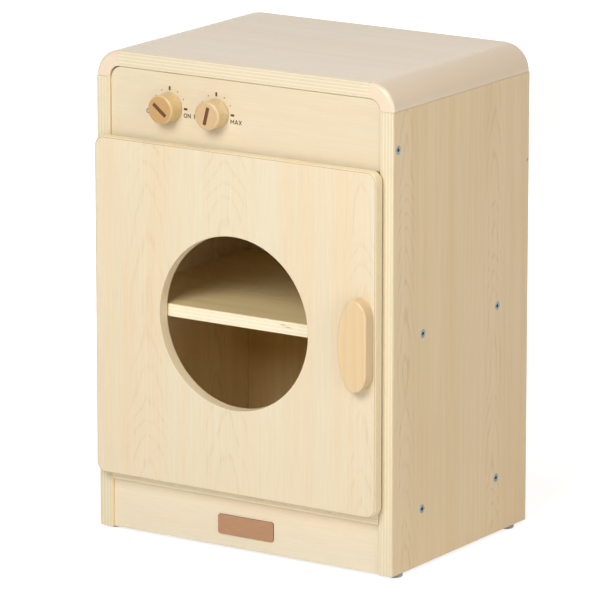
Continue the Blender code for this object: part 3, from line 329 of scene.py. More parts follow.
# %% [markdown]
# ## Oiled beech
#
# Oiled beech has growth rings a few millimetres apart and short dark flecks along the grain. Oil leaves it
# half shiny, so it looks warmer and deeper than the boards. The handle is cut along the tree, so its rings run
# up its face. The knobs are turned from dowels, so their faces show the rings end on: nearly straight on one
# knob, and as arcs on the other, which was cut nearer the middle of the tree.

# %% Oiled beech
# Each pair is how much a mm counts along the grain and across it.
RING_STRETCH = (0.03, 1.0)
WOBBLE_STRETCH = (0.006, 0.05)
FIBRE_STRETCH = (0.12, 2.2)


def oiled_beech(name, centre, along, pith, spacing, pale, dark):
    """Beech whose grain runs along one axis, with the tree's middle at an offset in mm from the centre."""
    finish, tree, shader = new_finish("oiled beech, " + name, 0.32)
    place = stretched(tree, (1.0, 1.0, 1.0), centre)

    def drawn_out(source, stretch):
        """A place with its distance along the grain counted less than the one across it."""
        counts = [stretch[0] if axis == along else stretch[1] for axis in "XYZ"]
        return add(tree, "VectorMath", {0: source, 1: counts}, operation="MULTIPLY")

    from_pith = add(tree, "VectorMath", {0: place, 1: pith}, operation="SUBTRACT")
    ring_place = drawn_out(from_pith, RING_STRETCH)
    radius = add(tree, "VectorMath", {0: ring_place}, "Value", operation="LENGTH")
    bent = drawn_out(place, WOBBLE_STRETCH)
    wobble = add(tree, "TexNoise", {"Vector": bent, "Scale": 1.0, "Detail": 1.0})
    count = add(tree, "Math", {0: radius, 1: 1 / spacing, 2: wobble}, operation="MULTIPLY_ADD")
    rise = add(tree, "Math", {0: count, 1: 1.0}, operation="FLOORED_MODULO")
    limits = {0: rise, 1: 0.35, 2: 1.0, 3: 0.0, 4: 0.55}
    late = add(tree, "MapRange", limits, interpolation_type="SMOOTHSTEP")
    fibre_place = drawn_out(place, FIBRE_STRETCH)
    fibres = add(tree, "TexNoise", {"Vector": fibre_place, "Scale": 1.0, "Detail": 3.0})
    flecks = add(tree, "MapRange", {0: fibres, 1: 0.58, 2: 0.72, 3: 0.0, 4: 0.4})
    amount = add(tree, "Math", {0: late, 1: flecks}, operation="ADD", use_clamp=True)
    colour = add(tree, "Mix", {"Factor": amount, 6: linear(pale), 7: linear(dark)}, 2, data_type="RGBA")
    tree.links.new(colour, shader.inputs["Base Color"])
    gloss = add(tree, "MapRange", {0: fibres, 3: 0.26, 4: 0.38})
    tree.links.new(gloss, shader.inputs["Roughness"])
    bump = add(tree, "Bump", {"Strength": 0.3, "Distance": 0.00005, "Height": fibres})
    tree.links.new(bump, shader.inputs["Normal"])
    return finish


print("Beech fibres are drawn", round(1 / FIBRE_STRETCH[1], 2), "mm wide")

# %% [markdown]
# ## Plastics, metals, fibre, ink and paint
#
# These are plainer. Each is one base colour that varies a little, because nothing real is one flat colour. One
# function mixes two near colours through noise of a real size and lifts the surface with the same noise.

# %% Speckled and clouded finishes
def clouded(
    name, first, second, size, roughness,
    metallic=0.0, ior=1.5, lift=0.00002, stretch=(1, 1, 1), spread=0.06,
):
    """Two near colours in patches of a size in mm, with roughness that follows the patches."""
    finish, tree, shader = new_finish(name, roughness, metallic, ior)
    place = stretched(tree, [size * share for share in stretch])
    patches = add(tree, "TexNoise", {"Vector": place, "Scale": 1.0, "Detail": 3.0})
    sharp = add(tree, "MapRange", {0: patches, 1: 0.32, 2: 0.68})
    colour = add(tree, "Mix", {"Factor": sharp, 6: linear(first), 7: linear(second)}, 2, data_type="RGBA")
    tree.links.new(colour, shader.inputs["Base Color"])
    gloss = add(tree, "MapRange", {0: sharp, 3: roughness - spread, 4: roughness + spread})
    tree.links.new(gloss, shader.inputs["Roughness"])
    bump = add(tree, "Bump", {"Strength": 0.2, "Distance": lift, "Height": patches})
    tree.links.new(bump, shader.inputs["Normal"])
    return finish


# Moulded ABS is smooth, so a round corner shows one long soft streak of light.
cream_abs = clouded(
    "moulded ABS, cream, semi-gloss", "EAD7BF", "E8D4BA", 200.0, 0.22, ior=1.54, lift=0.000001, spread=0.01
)
# Passivated zinc is a dull mirror with a cold blue tint in small patches. Its grey is darker than bright zinc,
# as a painted reflection of the shaded cabinet round it.
zinc = clouded("zinc-plated steel, blue passivated", "8E9DA3", "7A8C95", 2.5, 0.38, 1.0)
# Moulded polypropylene is waxy, with a broad and weak highlight.
polypropylene = clouded("moulded polypropylene, grey", "A9A9AD", "9D9DA2", 1.5, 0.50, ior=1.49)
# Vulcanised fibre is dry and speckled, with almost no shine.
red_fibre = clouded("vulcanised fibre, red-brown", "B3806B", "9C6955", 0.8, 0.72)
# Moulded nylon is white with a soft shine.
nylon = clouded("moulded nylon, white", "F0F0EC", "E6E6E1", 2.0, 0.42, ior=1.53)
# Sintered ferrite is almost black and finely grained.
ferrite = clouded("sintered ferrite, dark grey", "434347", "343438", 0.7, 0.62, ior=1.9)
# Pad-printed ink lies thin and dull, with crisp edges.
ink = clouded("pad-printed ink, brown", "58381F", "4B2F1B", 1.2, 0.55)
# Brushed paint is thicker in some places than in others, so its brown is uneven.
pointer_paint = clouded("brushed paint, brown", "70401F", "613518", 2.0, 0.50)
# Brushing draws a metal's highlight out along its scratches.
plate_metal = clouded(
    "brushed copper-coloured aluminium", "B78F70", "AC8263", 0.5, 0.42, 1.0, stretch=(30, 1, 1)
)
# The plate's sides are made darker as painted shade, so they read as a thin dark line.
plate_side_shade = clouded("brushed aluminium, side shade", "8A6B4B", "77593C", 1.5, 0.55, 1.0)
give_finish("catch_housing", nylon)
give_finish("catch_magnet", ferrite)
print(len(bpy.data.materials), "materials so far")

# %% [markdown]
# ## Placing a piece
#
# Every new piece is drawn lying flat round its own origin, and a matrix puts it in its place. Smooth shading
# alone would smear a flat face that ends in a rounded edge, so the normals are weighted by area, which keeps
# flat faces flat. Each piece rides on the body that carries it and says which plain solids it stands for.

# %% Placing helpers
# Stands a piece that lies on its back up, with its own +Z towards the front.
FRONT = Matrix.Rotation(math.radians(90), 4, "X")
SHARP_ANGLE = 35


def facing(direction, place, spin=0.0):
    """Turns a piece's own +Z to a direction, after a spin in degrees, and moves it to a place."""
    turn = Vector(direction).to_track_quat("Z", "Y").to_matrix().to_4x4()
    return Matrix.Translation(place) @ turn @ Matrix.Rotation(math.radians(spin), 4, "Z")


def finished(name, shape, matrix, materials, body, slot, *nodes, painted=None):
    """Turns a bmesh into a piece in its place, on its body, standing for plain solids of the part."""
    bmesh.ops.recalc_face_normals(shape, faces=shape.faces)
    if painted:
        for face in shape.faces:
            face.material_index = painted(face)
    shape.transform(matrix)
    mesh = bpy.data.meshes.new(name)
    shape.to_mesh(mesh)
    shape.free()
    mesh.shade_smooth()
    mesh.set_sharp_from_angle(angle=math.radians(SHARP_ANGLE))
    for material in materials:
        mesh.materials.append(material)
    piece = bpy.data.objects.new(name, mesh)
    bpy.context.scene.collection.objects.link(piece)
    normals = piece.modifiers.new("flat faces stay flat", "WEIGHTED_NORMAL")
    normals.keep_sharp = True
    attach(piece, body)
    if nodes:
        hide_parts(*nodes)
    return piece


print("Edges sharper than", SHARP_ANGLE, "degrees stay sharp")

# %% [markdown]
# ## Turning, pulling and cutting
#
# Turned pieces are a profile spun round an axis. Flat pieces are an outline pulled to a thickness. Their edges
# are bevelled while they are still simple, and holes are cut last, because a bevel needs clean edges.

# %% Shape helpers
NEARLY = 1e-6


def turned(profile, steps, closed=False):
    """A bmesh of a profile of (radius, height) points spun round Z in steps."""
    shape = bmesh.new()
    corners = [shape.verts.new((radius, 0.0, height)) for radius, height in profile]
    pairs = list(zip(corners, corners[1:])) + ([(corners[-1], corners[0])] if closed else [])
    edges = [shape.edges.new(pair) for pair in pairs]
    whole = math.radians(360)
    bmesh.ops.spin(shape, geom=corners + edges, axis=(0, 0, 1), cent=(0, 0, 0), steps=steps, angle=whole)
    bmesh.ops.remove_doubles(shape, verts=shape.verts, dist=NEARLY)
    return shape


def pulled(outline, thickness, edge=0.0, back_edge=0.0, segments=5):
    """A bmesh of a flat outline with a thickness along Z, its front edges and its back edges rounded."""
    shape = bmesh.new()
    shape.faces.new([shape.verts.new((x, y, -thickness / 2)) for x, y in outline])
    grown = bmesh.ops.extrude_face_region(shape, geom=shape.faces[:])
    raised = [item for item in grown["geom"] if isinstance(item, bmesh.types.BMVert)]
    bmesh.ops.translate(shape, verts=raised, vec=(0, 0, thickness))
    for side, radius in ((1, edge), (-1, back_edge)):
        level = side * thickness / 2
        rim = [e for e in shape.edges if all(abs(v.co.z - level) < NEARLY for v in e.verts)]
        if radius:
            bmesh.ops.bevel(shape, geom=rim, offset=radius, segments=segments, profile=0.5, affect="EDGES")
    return shape


def cut_away(shape, *cutters):
    """Takes cutters, each a bmesh, out of a bmesh."""
    for cutter in cutters:
        pair = []
        for name, source in (("whole", shape), ("cutter", cutter)):
            bmesh.ops.recalc_face_normals(source, faces=source.faces)
            mesh = bpy.data.meshes.new(name)
            source.to_mesh(mesh)
            source.free()
            pair.append(bpy.data.objects.new(name, mesh))
            bpy.context.scene.collection.objects.link(pair[-1])
        step = pair[0].modifiers.new("cut", "BOOLEAN")
        step.object = pair[1]
        step.solver = "EXACT"
        graph = bpy.context.evaluated_depsgraph_get()
        shape = bmesh.new()
        shape.from_mesh(pair[0].evaluated_get(graph).to_mesh())
        for item in pair:
            bpy.data.objects.remove(item, do_unlink=True)
    return shape


def block(low, high):
    """A bmesh of a box between two corners, for a cutter."""
    low, high = Vector(low), Vector(high)
    shape = bmesh.new()
    matrix = Matrix.Translation((low + high) / 2) @ Matrix.Diagonal((*(high - low), 1.0))
    bmesh.ops.create_cube(shape, size=1.0, matrix=matrix)
    return shape


print("Shape helpers ready")

# %% [markdown]
# ## Outlines
#
# Nearly every outline of this cabinet is made of straight lines and arcs, so two helpers draw them. A third
# gives the middle of a plain solid, which is where its new piece goes.

# %% Outline helpers
def arc(centre, radius, start, end, steps):
    """Points on an arc between two angles in degrees. Two radii make an ellipse."""
    wide, tall = radius if isinstance(radius, tuple) else (radius, radius)
    angles = [math.radians(start + (end - start) * step / steps) for step in range(steps + 1)]
    return [(centre[0] + wide * math.cos(a), centre[1] + tall * math.sin(a)) for a in angles]


def rounded(width, height, radius, steps=12):
    """The outline of a rectangle with round corners, about the origin."""
    x, y = width / 2 - radius, height / 2 - radius
    corners = (((x, y), 0), ((-x, y), 90), ((-x, -y), 180), ((x, -y), 270))
    return [point for centre, start in corners for point in arc(centre, radius, start, start + 90, steps)]


def middle(node):
    """The middle of a plain solid's box."""
    low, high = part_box(node)
    return (low + high) / 2


print("The shelf's middle is at", [round(value, 4) for value in middle("shelf")])

# %% [markdown]
# ## Side panels
#
# The lower edges of the sides are eased, so that they don't splinter when the cabinet is pushed about. It
# shows at the foot of each front edge as two round corners. The solid's own mesh is taken, and its two long
# lower edges are bevelled.

# %% Side panels
FOOT_ROUND = 0.004
SAME_PLACE = 1e-5
for node in ("left_side_panel", "right_side_panel"):
    low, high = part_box(node)
    board = frame["nodes"][node]
    shape = bmesh.new()
    shape.from_mesh(board.data)
    shape.transform(board.matrix_world)
    rim = []
    for edge in shape.edges:
        first, last = (v.co for v in edge.verts)
        at_foot = max(abs(first.z - low.z), abs(last.z - low.z)) < SAME_PLACE
        at_face = min(abs(first.x - low.x), abs(first.x - high.x)) < SAME_PLACE
        if at_foot and at_face and abs(first.x - last.x) < SAME_PLACE:
            rim.append(edge)
    bmesh.ops.bevel(shape, geom=rim, offset=FOOT_ROUND, segments=5, profile=0.5, affect="EDGES")
    finished(node + "_eased", shape, Matrix(), [board.data.materials[0]], "cabinet", "maple_laminate", node)
    print(node, "has", len(rim), "eased edges")

# %% [markdown]
# ## Corner mouldings
#
# A quarter ring of cream plastic runs from front to back along each top corner. It is an extrusion, so an
# outline pulled to the cabinet's depth gives it exactly. Its ends show beside the plies of the boards, and a
# bright line of light lies along their rounded outer edge, so that edge gets a real radius of 4.5 mm. A
# moulding nearly touches the top panel, so that no seam shows there.

# %% Corner mouldings
CORNER_RADIUS = 0.031
CASE_BOARD = 0.018
MOULDING_EDGE = 0.0045
INNER_EDGE = 0.001
SEAM = 0.00027
NEAR_ARC = 1e-4
for side_name, side in (("left", -1), ("right", 1)):
    node = side_name + "_corner_moulding"
    low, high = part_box(node)
    outer = high.x if side > 0 else low.x
    inner = CORNER_RADIUS - CASE_BOARD
    section = arc((0, 0), CORNER_RADIUS, 0, 90, 40) + [(-SEAM, CORNER_RADIUS), (-SEAM, inner)]
    section += arc((0, 0), inner, 90, 0, 28)
    section = [(side * x, y) for x, y in section]
    shape = pulled(section, high.y - low.y)
    for at_outer_arc, radius in ((True, MOULDING_EDGE), (False, INNER_EDGE)):
        rim = []
        for edge in shape.edges:
            reach = [math.hypot(v.co.x, v.co.y) for v in edge.verts]
            flat = abs(edge.verts[0].co.z - edge.verts[1].co.z) < NEARLY
            far = min(reach) > CORNER_RADIUS - NEAR_ARC
            close = max(reach) < inner + NEAR_ARC
            if flat and (far if at_outer_arc else close):
                rim.append(edge)
        bmesh.ops.bevel(shape, geom=rim, offset=radius, segments=6, profile=0.5, affect="EDGES")
    place = Vector((outer - side * CORNER_RADIUS, (low.y + high.y) / 2, high.z - CORNER_RADIUS))
    matrix = Matrix.Translation(place) @ FRONT
    finished(node + "_smooth", shape, matrix, [cream_abs], "cabinet", "cream_moulding", node)
    print(node, "is", round((high.y - low.y) * 1000, 1), "mm long")

# %% [markdown]
# ## Door
#
# The door is a plain board with round corners, softly rounded edges and a round window. The window is cut with
# a spool: a disc that flares at both faces, so that its rims come out rounded. Housings for the hinge leaves
# are cut in the back. Three flames run up the board, and its glue lines are darker than those of the case.

# %% Door panel
DOOR_CORNER = 0.012
DOOR_EDGE = 0.003
WINDOW_RADIUS = 0.100
WINDOW_EDGE = 0.0015
WINDOW_STEPS = 180
SPOOL_GAP = 1e-4
LEAF_THICKNESS = 0.001
FIT_GAP = 0.0003
DOOR_TONES = ("E6DBC0", "E8D5B5", "D6B98E")
DOOR_PLIES = ("F6E8CA", "EEDDB6", "9C7B48")
DOOR_FLAMES = ((74.0, 12.0), (181.0, 13.0), (362.0, 9.0))
low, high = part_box("door_panel")
door_middle, door_size = (low + high) / 2, high - low
door = pulled(rounded(door_size.x, door_size.z, DOOR_CORNER), door_size.y, DOOR_EDGE, DOOR_EDGE)
rim, end, wide = door_size.y / 2 - WINDOW_EDGE, door_size.y, WINDOW_RADIUS + WINDOW_EDGE
spool = [(0, end), (wide, end)] + arc((wide, rim + SPOOL_GAP), WINDOW_EDGE, 90, 180, 6)
spool += arc((wide, -rim - SPOOL_GAP), WINDOW_EDGE, 180, 270, 6) + [(wide, -end), (0, -end)]
window = turned(spool, WINDOW_STEPS)
window.transform(Matrix.Translation((0, middle("shelf").z - door_middle.z, 0)))
housings = []
for which in ("upper", "lower"):
    leaf_low, leaf_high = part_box(which + "_hinge_door_leaf")
    from_left, top = leaf_high.x + FIT_GAP - door_middle.x, leaf_high.z + FIT_GAP - door_middle.z
    bottom, deep = leaf_low.z - FIT_GAP - door_middle.z, -door_size.y / 2 + LEAF_THICKNESS
    housings.append(block((-door_size.x, bottom, -door_size.y), (from_left, top, deep)))
door = cut_away(door, window, *housings)
door_plywood = laminate_plywood("door_panel", "XZY", 9, DOOR_TONES, DOOR_PLIES, DOOR_FLAMES, 0.4)
matrix = Matrix.Translation(door_middle) @ FRONT
finished("door_board", door, matrix, [door_plywood], "door", "maple_laminate", "door_panel")
print("Door", [round(value * 1000, 1) for value in door_size], "mm")

# %% [markdown]
# ## Handle
#
# The handle is a flat piece of beech. Its side towards the window is a full belly, and its side towards the
# door's edge is nearly straight, with well rounded ends. Half an ellipse and two quarter ellipses joined by a
# straight line draw it, and a 2 mm radius takes the sharpness off its front edge.

# %% Handle
HANDLE_EDGE = 0.002
HANDLE_FLAT = 0.062
BELLY_SHARE = 0.55
HANDLE_PITH = (-30, 60, 0)
HANDLE_RINGS = 5.0
low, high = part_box("door_handle")
width, tall, thick = high.x - low.x, high.z - low.z, high.y - low.y
belly, flat = width * BELLY_SHARE, HANDLE_FLAT / 2
shift, shoulder = belly - width / 2, (width - belly, tall / 2 - flat)
outline = arc((shift, flat), shoulder, 0, 90, 24)[:-1] + arc((shift, 0), (belly, tall / 2), 90, 270, 72)
outline += arc((shift, -flat), shoulder, 270, 360, 24)[1:]
handle = pulled(outline, thick, HANDLE_EDGE, HANDLE_EDGE / 2, 6)
centre = middle("door_handle")
handle_beech = oiled_beech("handle", centre, "Z", HANDLE_PITH, HANDLE_RINGS, "E0C599", "DBBD8D")
matrix = Matrix.Translation(centre) @ FRONT
finished("handle_turned_edge", handle, matrix, [handle_beech], "door", "oiled_beech", "door_handle")
print("Handle", round(tall * 1000), "mm tall")

# %% [markdown]
# ## Knobs
#
# Each knob is turned on a lathe: a flat face, a rim, a hollow waist and a foot that flares to the panel. A
# profile spun round the axis is the natural way. The pointer is a shallow groove with brown paint in it, so it
# is cut out and its faces get the paint. End grain drinks more oil than side grain, so the face is darker.

# %% Knobs
KNOB_FOOT, KNOB_WAIST, KNOB_FACE = 0.0170, 0.0157, 0.0164
KNOB_ROUND = 0.0028
WAIST_SHARE = 0.45
FLARE_STEPS, TURN_STEPS = 12, 96
GROOVE_WIDTH, GROOVE_LENGTH, GROOVE_DEPTH, GROOVE_CORNER = 0.0044, 0.021, 0.0008, 0.0004
CUTTER_THICKNESS = 0.004
# The pointer's angle from upright, the tree's middle and the ring spacing in mm, and the side's and the
# face's tones.
KNOBS = {
    "knob_left": (52.0, (60, 0, 60), 1.5, ("DBC08D", "CDAB76"), ("C8A067", "AE8048")),
    "knob_right": (-14.5, (-12, 0, -8), 1.7, ("DAC399", "CCB084"), ("D6B588", "BC986A")),
}
for name, (angle, pith, spacing, side_tones, face_tones) in KNOBS.items():
    low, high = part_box(name)
    length, centre = high.y - low.y, Vector(((low.x + high.x) / 2, high.y, (low.z + high.z) / 2))
    waist, shoulder = length * WAIST_SHARE, length - KNOB_ROUND
    profile = [(0, length)] + arc((KNOB_FACE - KNOB_ROUND, shoulder), KNOB_ROUND, 90, 0, 10)
    for start, end, wide in ((shoulder, waist, KNOB_FACE), (waist, 0, KNOB_FOOT)):
        for step in range(1, FLARE_STEPS + 1):
            share = step / FLARE_STEPS
            out = share if end == 0 else 1 - share
            profile.append((KNOB_WAIST + (wide - KNOB_WAIST) * out**2, start + (end - start) * share))
    knob = turned(profile + [(0, 0)], TURN_STEPS)
    groove_bottom = length - GROOVE_DEPTH
    groove_cutter = pulled(rounded(GROOVE_WIDTH, GROOVE_LENGTH, GROOVE_CORNER, 4), CUTTER_THICKNESS)
    groove_cutter.transform(Matrix.Translation((0, 0, groove_bottom + CUTTER_THICKNESS / 2)))
    knob = cut_away(knob, groove_cutter)

    def grain_or_paint(face, bottom=groove_bottom, top=length):
        """0 for the knob's side, 1 for its painted groove and 2 for its face."""
        across = max(abs(v.co.x) for v in face.verts) < GROOVE_WIDTH / 2 + SAME_PLACE
        along = max(abs(v.co.y) for v in face.verts) < GROOVE_LENGTH / 2 + SAME_PLACE
        lowest = min(v.co.z for v in face.verts)
        if across and along and bottom - SAME_PLACE < lowest < top - SAME_PLACE:
            return 1
        return 2 if face.normal.z > 0.8 else 0

    side_grain = oiled_beech(name + " side", centre, "Y", pith, spacing, *side_tones)
    end_grain = oiled_beech(name + " end", centre, "Y", pith, spacing, *face_tones)
    finishes = [side_grain, pointer_paint, end_grain]
    matrix = facing((0, -1, 0), centre, angle)
    finished(name + "_turned", knob, matrix, finishes, name, "oiled_beech", name, painted=grain_or_paint)
    print(name, "points", angle, "degrees from upright")

# %% [markdown]
# ## Marks round the knobs
#
# The panel is printed with a bar at twelve, three and nine o'clock and small dots between them. Ink stands a
# few hundredths of a millimetre above the board, so each mark is a thin film with a real thickness.

# %% Printed marks
INK = 0.00005
MARK_RADIUS = 0.0217
BAR = (0.0048, 0.0026, 0.0003, 3)
DOT = (0.0014, 0.0014, 0.0006, 6)
panel_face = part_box("control_panel")[0].y
for name in KNOBS:
    centre = middle(name)
    for hour in range(-3, 4):
        angle = 90 - 30 * hour
        x, z = MARK_RADIUS * math.cos(math.radians(angle)), MARK_RADIUS * math.sin(math.radians(angle))
        place = Vector((centre.x + x, panel_face - INK / 2, centre.z + z))
        mark = pulled(rounded(*(BAR if hour in (-3, 0, 3) else DOT)), INK)
        matrix = Matrix.Translation(place) @ FRONT @ Matrix.Rotation(math.radians(angle), 4, "Z")
        finished(f"{name}_mark_{hour + 4}", mark, matrix, [ink], "cabinet", "maple_laminate")
print("Seven marks round each knob")

# %% [markdown]
# ## Words beside the knobs
#
# The words OFF and ON, MIN and MAX stand beside the knobs. The letters are drawn as a sign-writer draws them,
# with strokes of one width. Each stroke is a thin bar between two points, measured in letter heights, and an O
# is a ring of short strokes. This way each stroke is a real bar of ink, and no font is needed.

# %% Printed words
WORD_HEIGHT = 0.0048
WORD_GAP = 0.0195
WORD_DROP = 0.0074
STROKE_SHARE = 0.20
STROKE_OVERLAP = 0.2
LETTER_SPACE_SHARE = 0.34
LETTERS = {
    "A": [((0.0, 0.0), (0.4, 1.0)), ((0.4, 1.0), (0.8, 0.0)), ((0.14, 0.3), (0.66, 0.3))],
    "F": [((0.0, 0.0), (0.0, 1.0)), ((0.0, 0.92), (0.52, 0.92)), ((0.0, 0.5), (0.46, 0.5))],
    "I": [((0.0, 0.0), (0.0, 1.0))],
    "M": [
        ((0.0, 0.0), (0.0, 1.0)), ((0.0, 0.95), (0.42, 0.35)),
        ((0.42, 0.35), (0.84, 0.95)), ((0.84, 1.0), (0.84, 0.0)),
    ],
    "N": [((0.0, 0.0), (0.0, 1.0)), ((0.0, 0.95), (0.68, 0.05)), ((0.68, 0.0), (0.68, 1.0))],
    "X": [((0.0, 0.0), (0.68, 1.0)), ((0.0, 1.0), (0.68, 0.0))],
}
ring = arc((0.4, 0.5), (0.4, 0.46), 0, 360, 28)
LETTERS["O"] = list(zip(ring, ring[1:]))


def printed_word(word, edge_x, right_aligned, z):
    """A word whose left or right edge is at a place on the panel."""
    shape, reach = bmesh.new(), 0.0
    for letter in word:
        for start, end in LETTERS[letter]:
            start, end = Vector((reach + start[0], start[1])), Vector((reach + end[0], end[1]))
            length = (end - start).length + STROKE_SHARE * STROKE_OVERLAP
            turn = math.atan2(end.y - start.y, end.x - start.x)
            matrix = Matrix.Translation(((start + end) / 2).to_3d()) @ Matrix.Rotation(turn, 4, "Z")
            matrix = matrix @ Matrix.Diagonal((length, STROKE_SHARE, INK / WORD_HEIGHT, 1.0))
            bmesh.ops.create_cube(shape, size=1.0, matrix=matrix)
        reach += max(point[0] for stroke in LETTERS[letter] for point in stroke) + LETTER_SPACE_SHARE
    wide = (reach - LETTER_SPACE_SHARE) * WORD_HEIGHT
    place = Vector((edge_x - (wide if right_aligned else 0), panel_face - INK / 2, z - WORD_HEIGHT / 2))
    matrix = Matrix.Translation(place) @ FRONT @ Matrix.Scale(WORD_HEIGHT, 4)
    finished("word_" + word.lower(), shape, matrix, [ink], "cabinet", "maple_laminate")
    print(word, "is", round(wide * 1000, 1), "mm wide")


for name, left_word, right_word in (("knob_left", "OFF", "ON"), ("knob_right", "MIN", "MAX")):
    centre = middle(name)
    printed_word(left_word, centre.x - WORD_GAP, True, centre.z - WORD_DROP)
    printed_word(right_word, centre.x + WORD_GAP, False, centre.z - WORD_DROP)

# %% [markdown]
# ## Bare plate on the plinth
#
# A small, bare plate of brushed metal with round corners is glued to the plinth. Its sides get a darker finish
# of their own as painted shade, which draws a dark line along its top and right edges from this side.

# %% Plate
PLATE_WIDTH, PLATE_HEIGHT, PLATE_THICKNESS = 0.0757, 0.0233, 0.0016
PLATE_CORNER, PLATE_EDGE = 0.003, 0.0003
PLATE_X, PLATE_Z = 0.0011, 0.0305
plinth_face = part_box("plinth")[0].y
plate = pulled(rounded(PLATE_WIDTH, PLATE_HEIGHT, PLATE_CORNER, 8), PLATE_THICKNESS, PLATE_EDGE, 0.0, 2)
matrix = Matrix.Translation((PLATE_X, plinth_face - PLATE_THICKNESS / 2 - INK, PLATE_Z)) @ FRONT


# The plate's sides take the darker finish, as painted shade.
def sides_in_painted_shade(face):
    """1 for the plate's sides and 0 for its face."""
    return int(face.normal.z < 0.9)


finished("plinth_plate", plate, matrix, [plate_metal, plate_side_shade], "cabinet", "zinc_plated_steel",
         painted=sides_in_painted_shade)
print("Plate is", round(PLATE_THICKNESS * 1000, 1), "mm thick")

# %% [markdown]
# ## Case screws and pins
#
# The case screws have a chamfered head with a hexagon socket. One profile and one six-sided cutter make the
# head, and each copy goes where the plain screw is, turned a little further than the one before. Threads stay
# hidden in the wood, so none are drawn. A round-headed pin above them holds the back panel.

# %% Case screws and pins
# Profiles are (radius, height) points, with the board's face at height 0.
SCREW = [
    (0, 0), (0.0042, 0), (0.0047, -0.00025), (0.005, -0.0007), (0.005, -0.0012),
    (0.0034, -0.004), (0.0034, -0.022), (0.0024, -0.022), (0.0024, -0.048), (0, -0.05),
]
HEX_SOCKET = [(0, 0.002), (0.00275, 0.002), (0.0023, -0.0004), (0.0023, -0.003), (0, -0.0036)]
PIN = [
    (0, 0), (0.0013, 0), (0.0018, -0.0004), (0.0018, -0.001), (0.0009, -0.001), (0.0009, -0.03), (0, -0.03),
]
SCREW_TWIST = 11.0
for side_name, side in (("left", -1), ("right", 1)):
    for number in range(1, 6):
        node = f"{side_name}_case_screw_{number}"
        low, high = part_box(node)
        screw = cut_away(turned(SCREW, 48), turned(HEX_SOCKET, 6))
        place = Vector((high.x if side > 0 else low.x, (low.y + high.y) / 2, (low.z + high.z) / 2))
        matrix = facing((side, 0, 0), place, SCREW_TWIST * number)
        finished(node + "_socket_head", screw, matrix, [zinc], "cabinet", "zinc_plated_steel", node)
    node = side_name + "_back_pin"
    low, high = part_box(node)
    place = Vector((high.x if side > 0 else low.x, (low.y + high.y) / 2, (low.z + high.z) / 2))
    matrix = facing((side, 0, 0), place)
    finished(node + "_round_head", turned(PIN, 24), matrix, [zinc], "cabinet", "zinc_plated_steel", node)
print("Ten screws and two pins")

# %% [markdown]
# ## Glides
#
# The glides are moulded feet with a nail. Their lower edge is rounded so that they slide, which a few more
# points in the profile give.

# %% Glides
GLIDE = [(0, 0.016), (0.0012, 0.016), (0.0012, 0.0037), (0.0086, 0.0037), (0.009, 0.0033)]
GLIDE += arc((0.0078, 0.0012), 0.0012, 0, -90, 6) + [(0.003, 0), (0.0025, 0.0004), (0, 0.0004)]
for side_name in ("left", "right"):
    for end_name in ("front", "back"):
        node = f"glide_{side_name}_{end_name}"
        low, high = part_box(node)
        matrix = Matrix.Translation(Vector(((low.x + high.x) / 2, (low.y + high.y) / 2, low.z)))
        finished(node + "_moulded", turned(GLIDE, 48), matrix, [polypropylene], "cabinet",
                 "grey_polypropylene", node)
print("Four glides")

# %% [markdown]
# ## Hinges
#
# Each hinge is two steel leaves rolled round one pin, with knuckles that take turns. A leaf is the outline of
# its rolled strip, pulled to the hinge's length. The roll starts where the flat leaf ends and stops short of
# closing. Every other knuckle is then cut away, a little past the leaf's ends and its barrel.

# %% Hinge leaves and pins
BARREL = 0.0025
LEAF_CLEARANCE = 0.0004
HINGE_KNUCKLES = 5
FRAME_ROLL, DOOR_ROLL = 290, 345
PAST_END, PAST_BARREL = 0.004, 0.006
PIN_RADIUS, CAP_RADIUS, CAP_HEIGHT, CAP_EDGE = 0.0012, 0.0022, 0.0008, 0.0004


def knuckle_gaps(length, first):
    """Cutters for every other knuckle of a leaf, from the first or the second one on."""
    pitch, last = length / HINGE_KNUCKLES, HINGE_KNUCKLES - 1
    cutters = []
    for knuckle in range(first, HINGE_KNUCKLES, 2):
        start = -length / 2 + knuckle * pitch - FIT_GAP / 2 - (PAST_END if knuckle == 0 else 0)
        stop = -length / 2 + (knuckle + 1) * pitch + FIT_GAP / 2 + (PAST_END if knuckle == last else 0)
        cutters.append(block((-PAST_BARREL, -PAST_BARREL, start), (BARREL + FIT_GAP, PAST_BARREL, stop)))
    return cutters


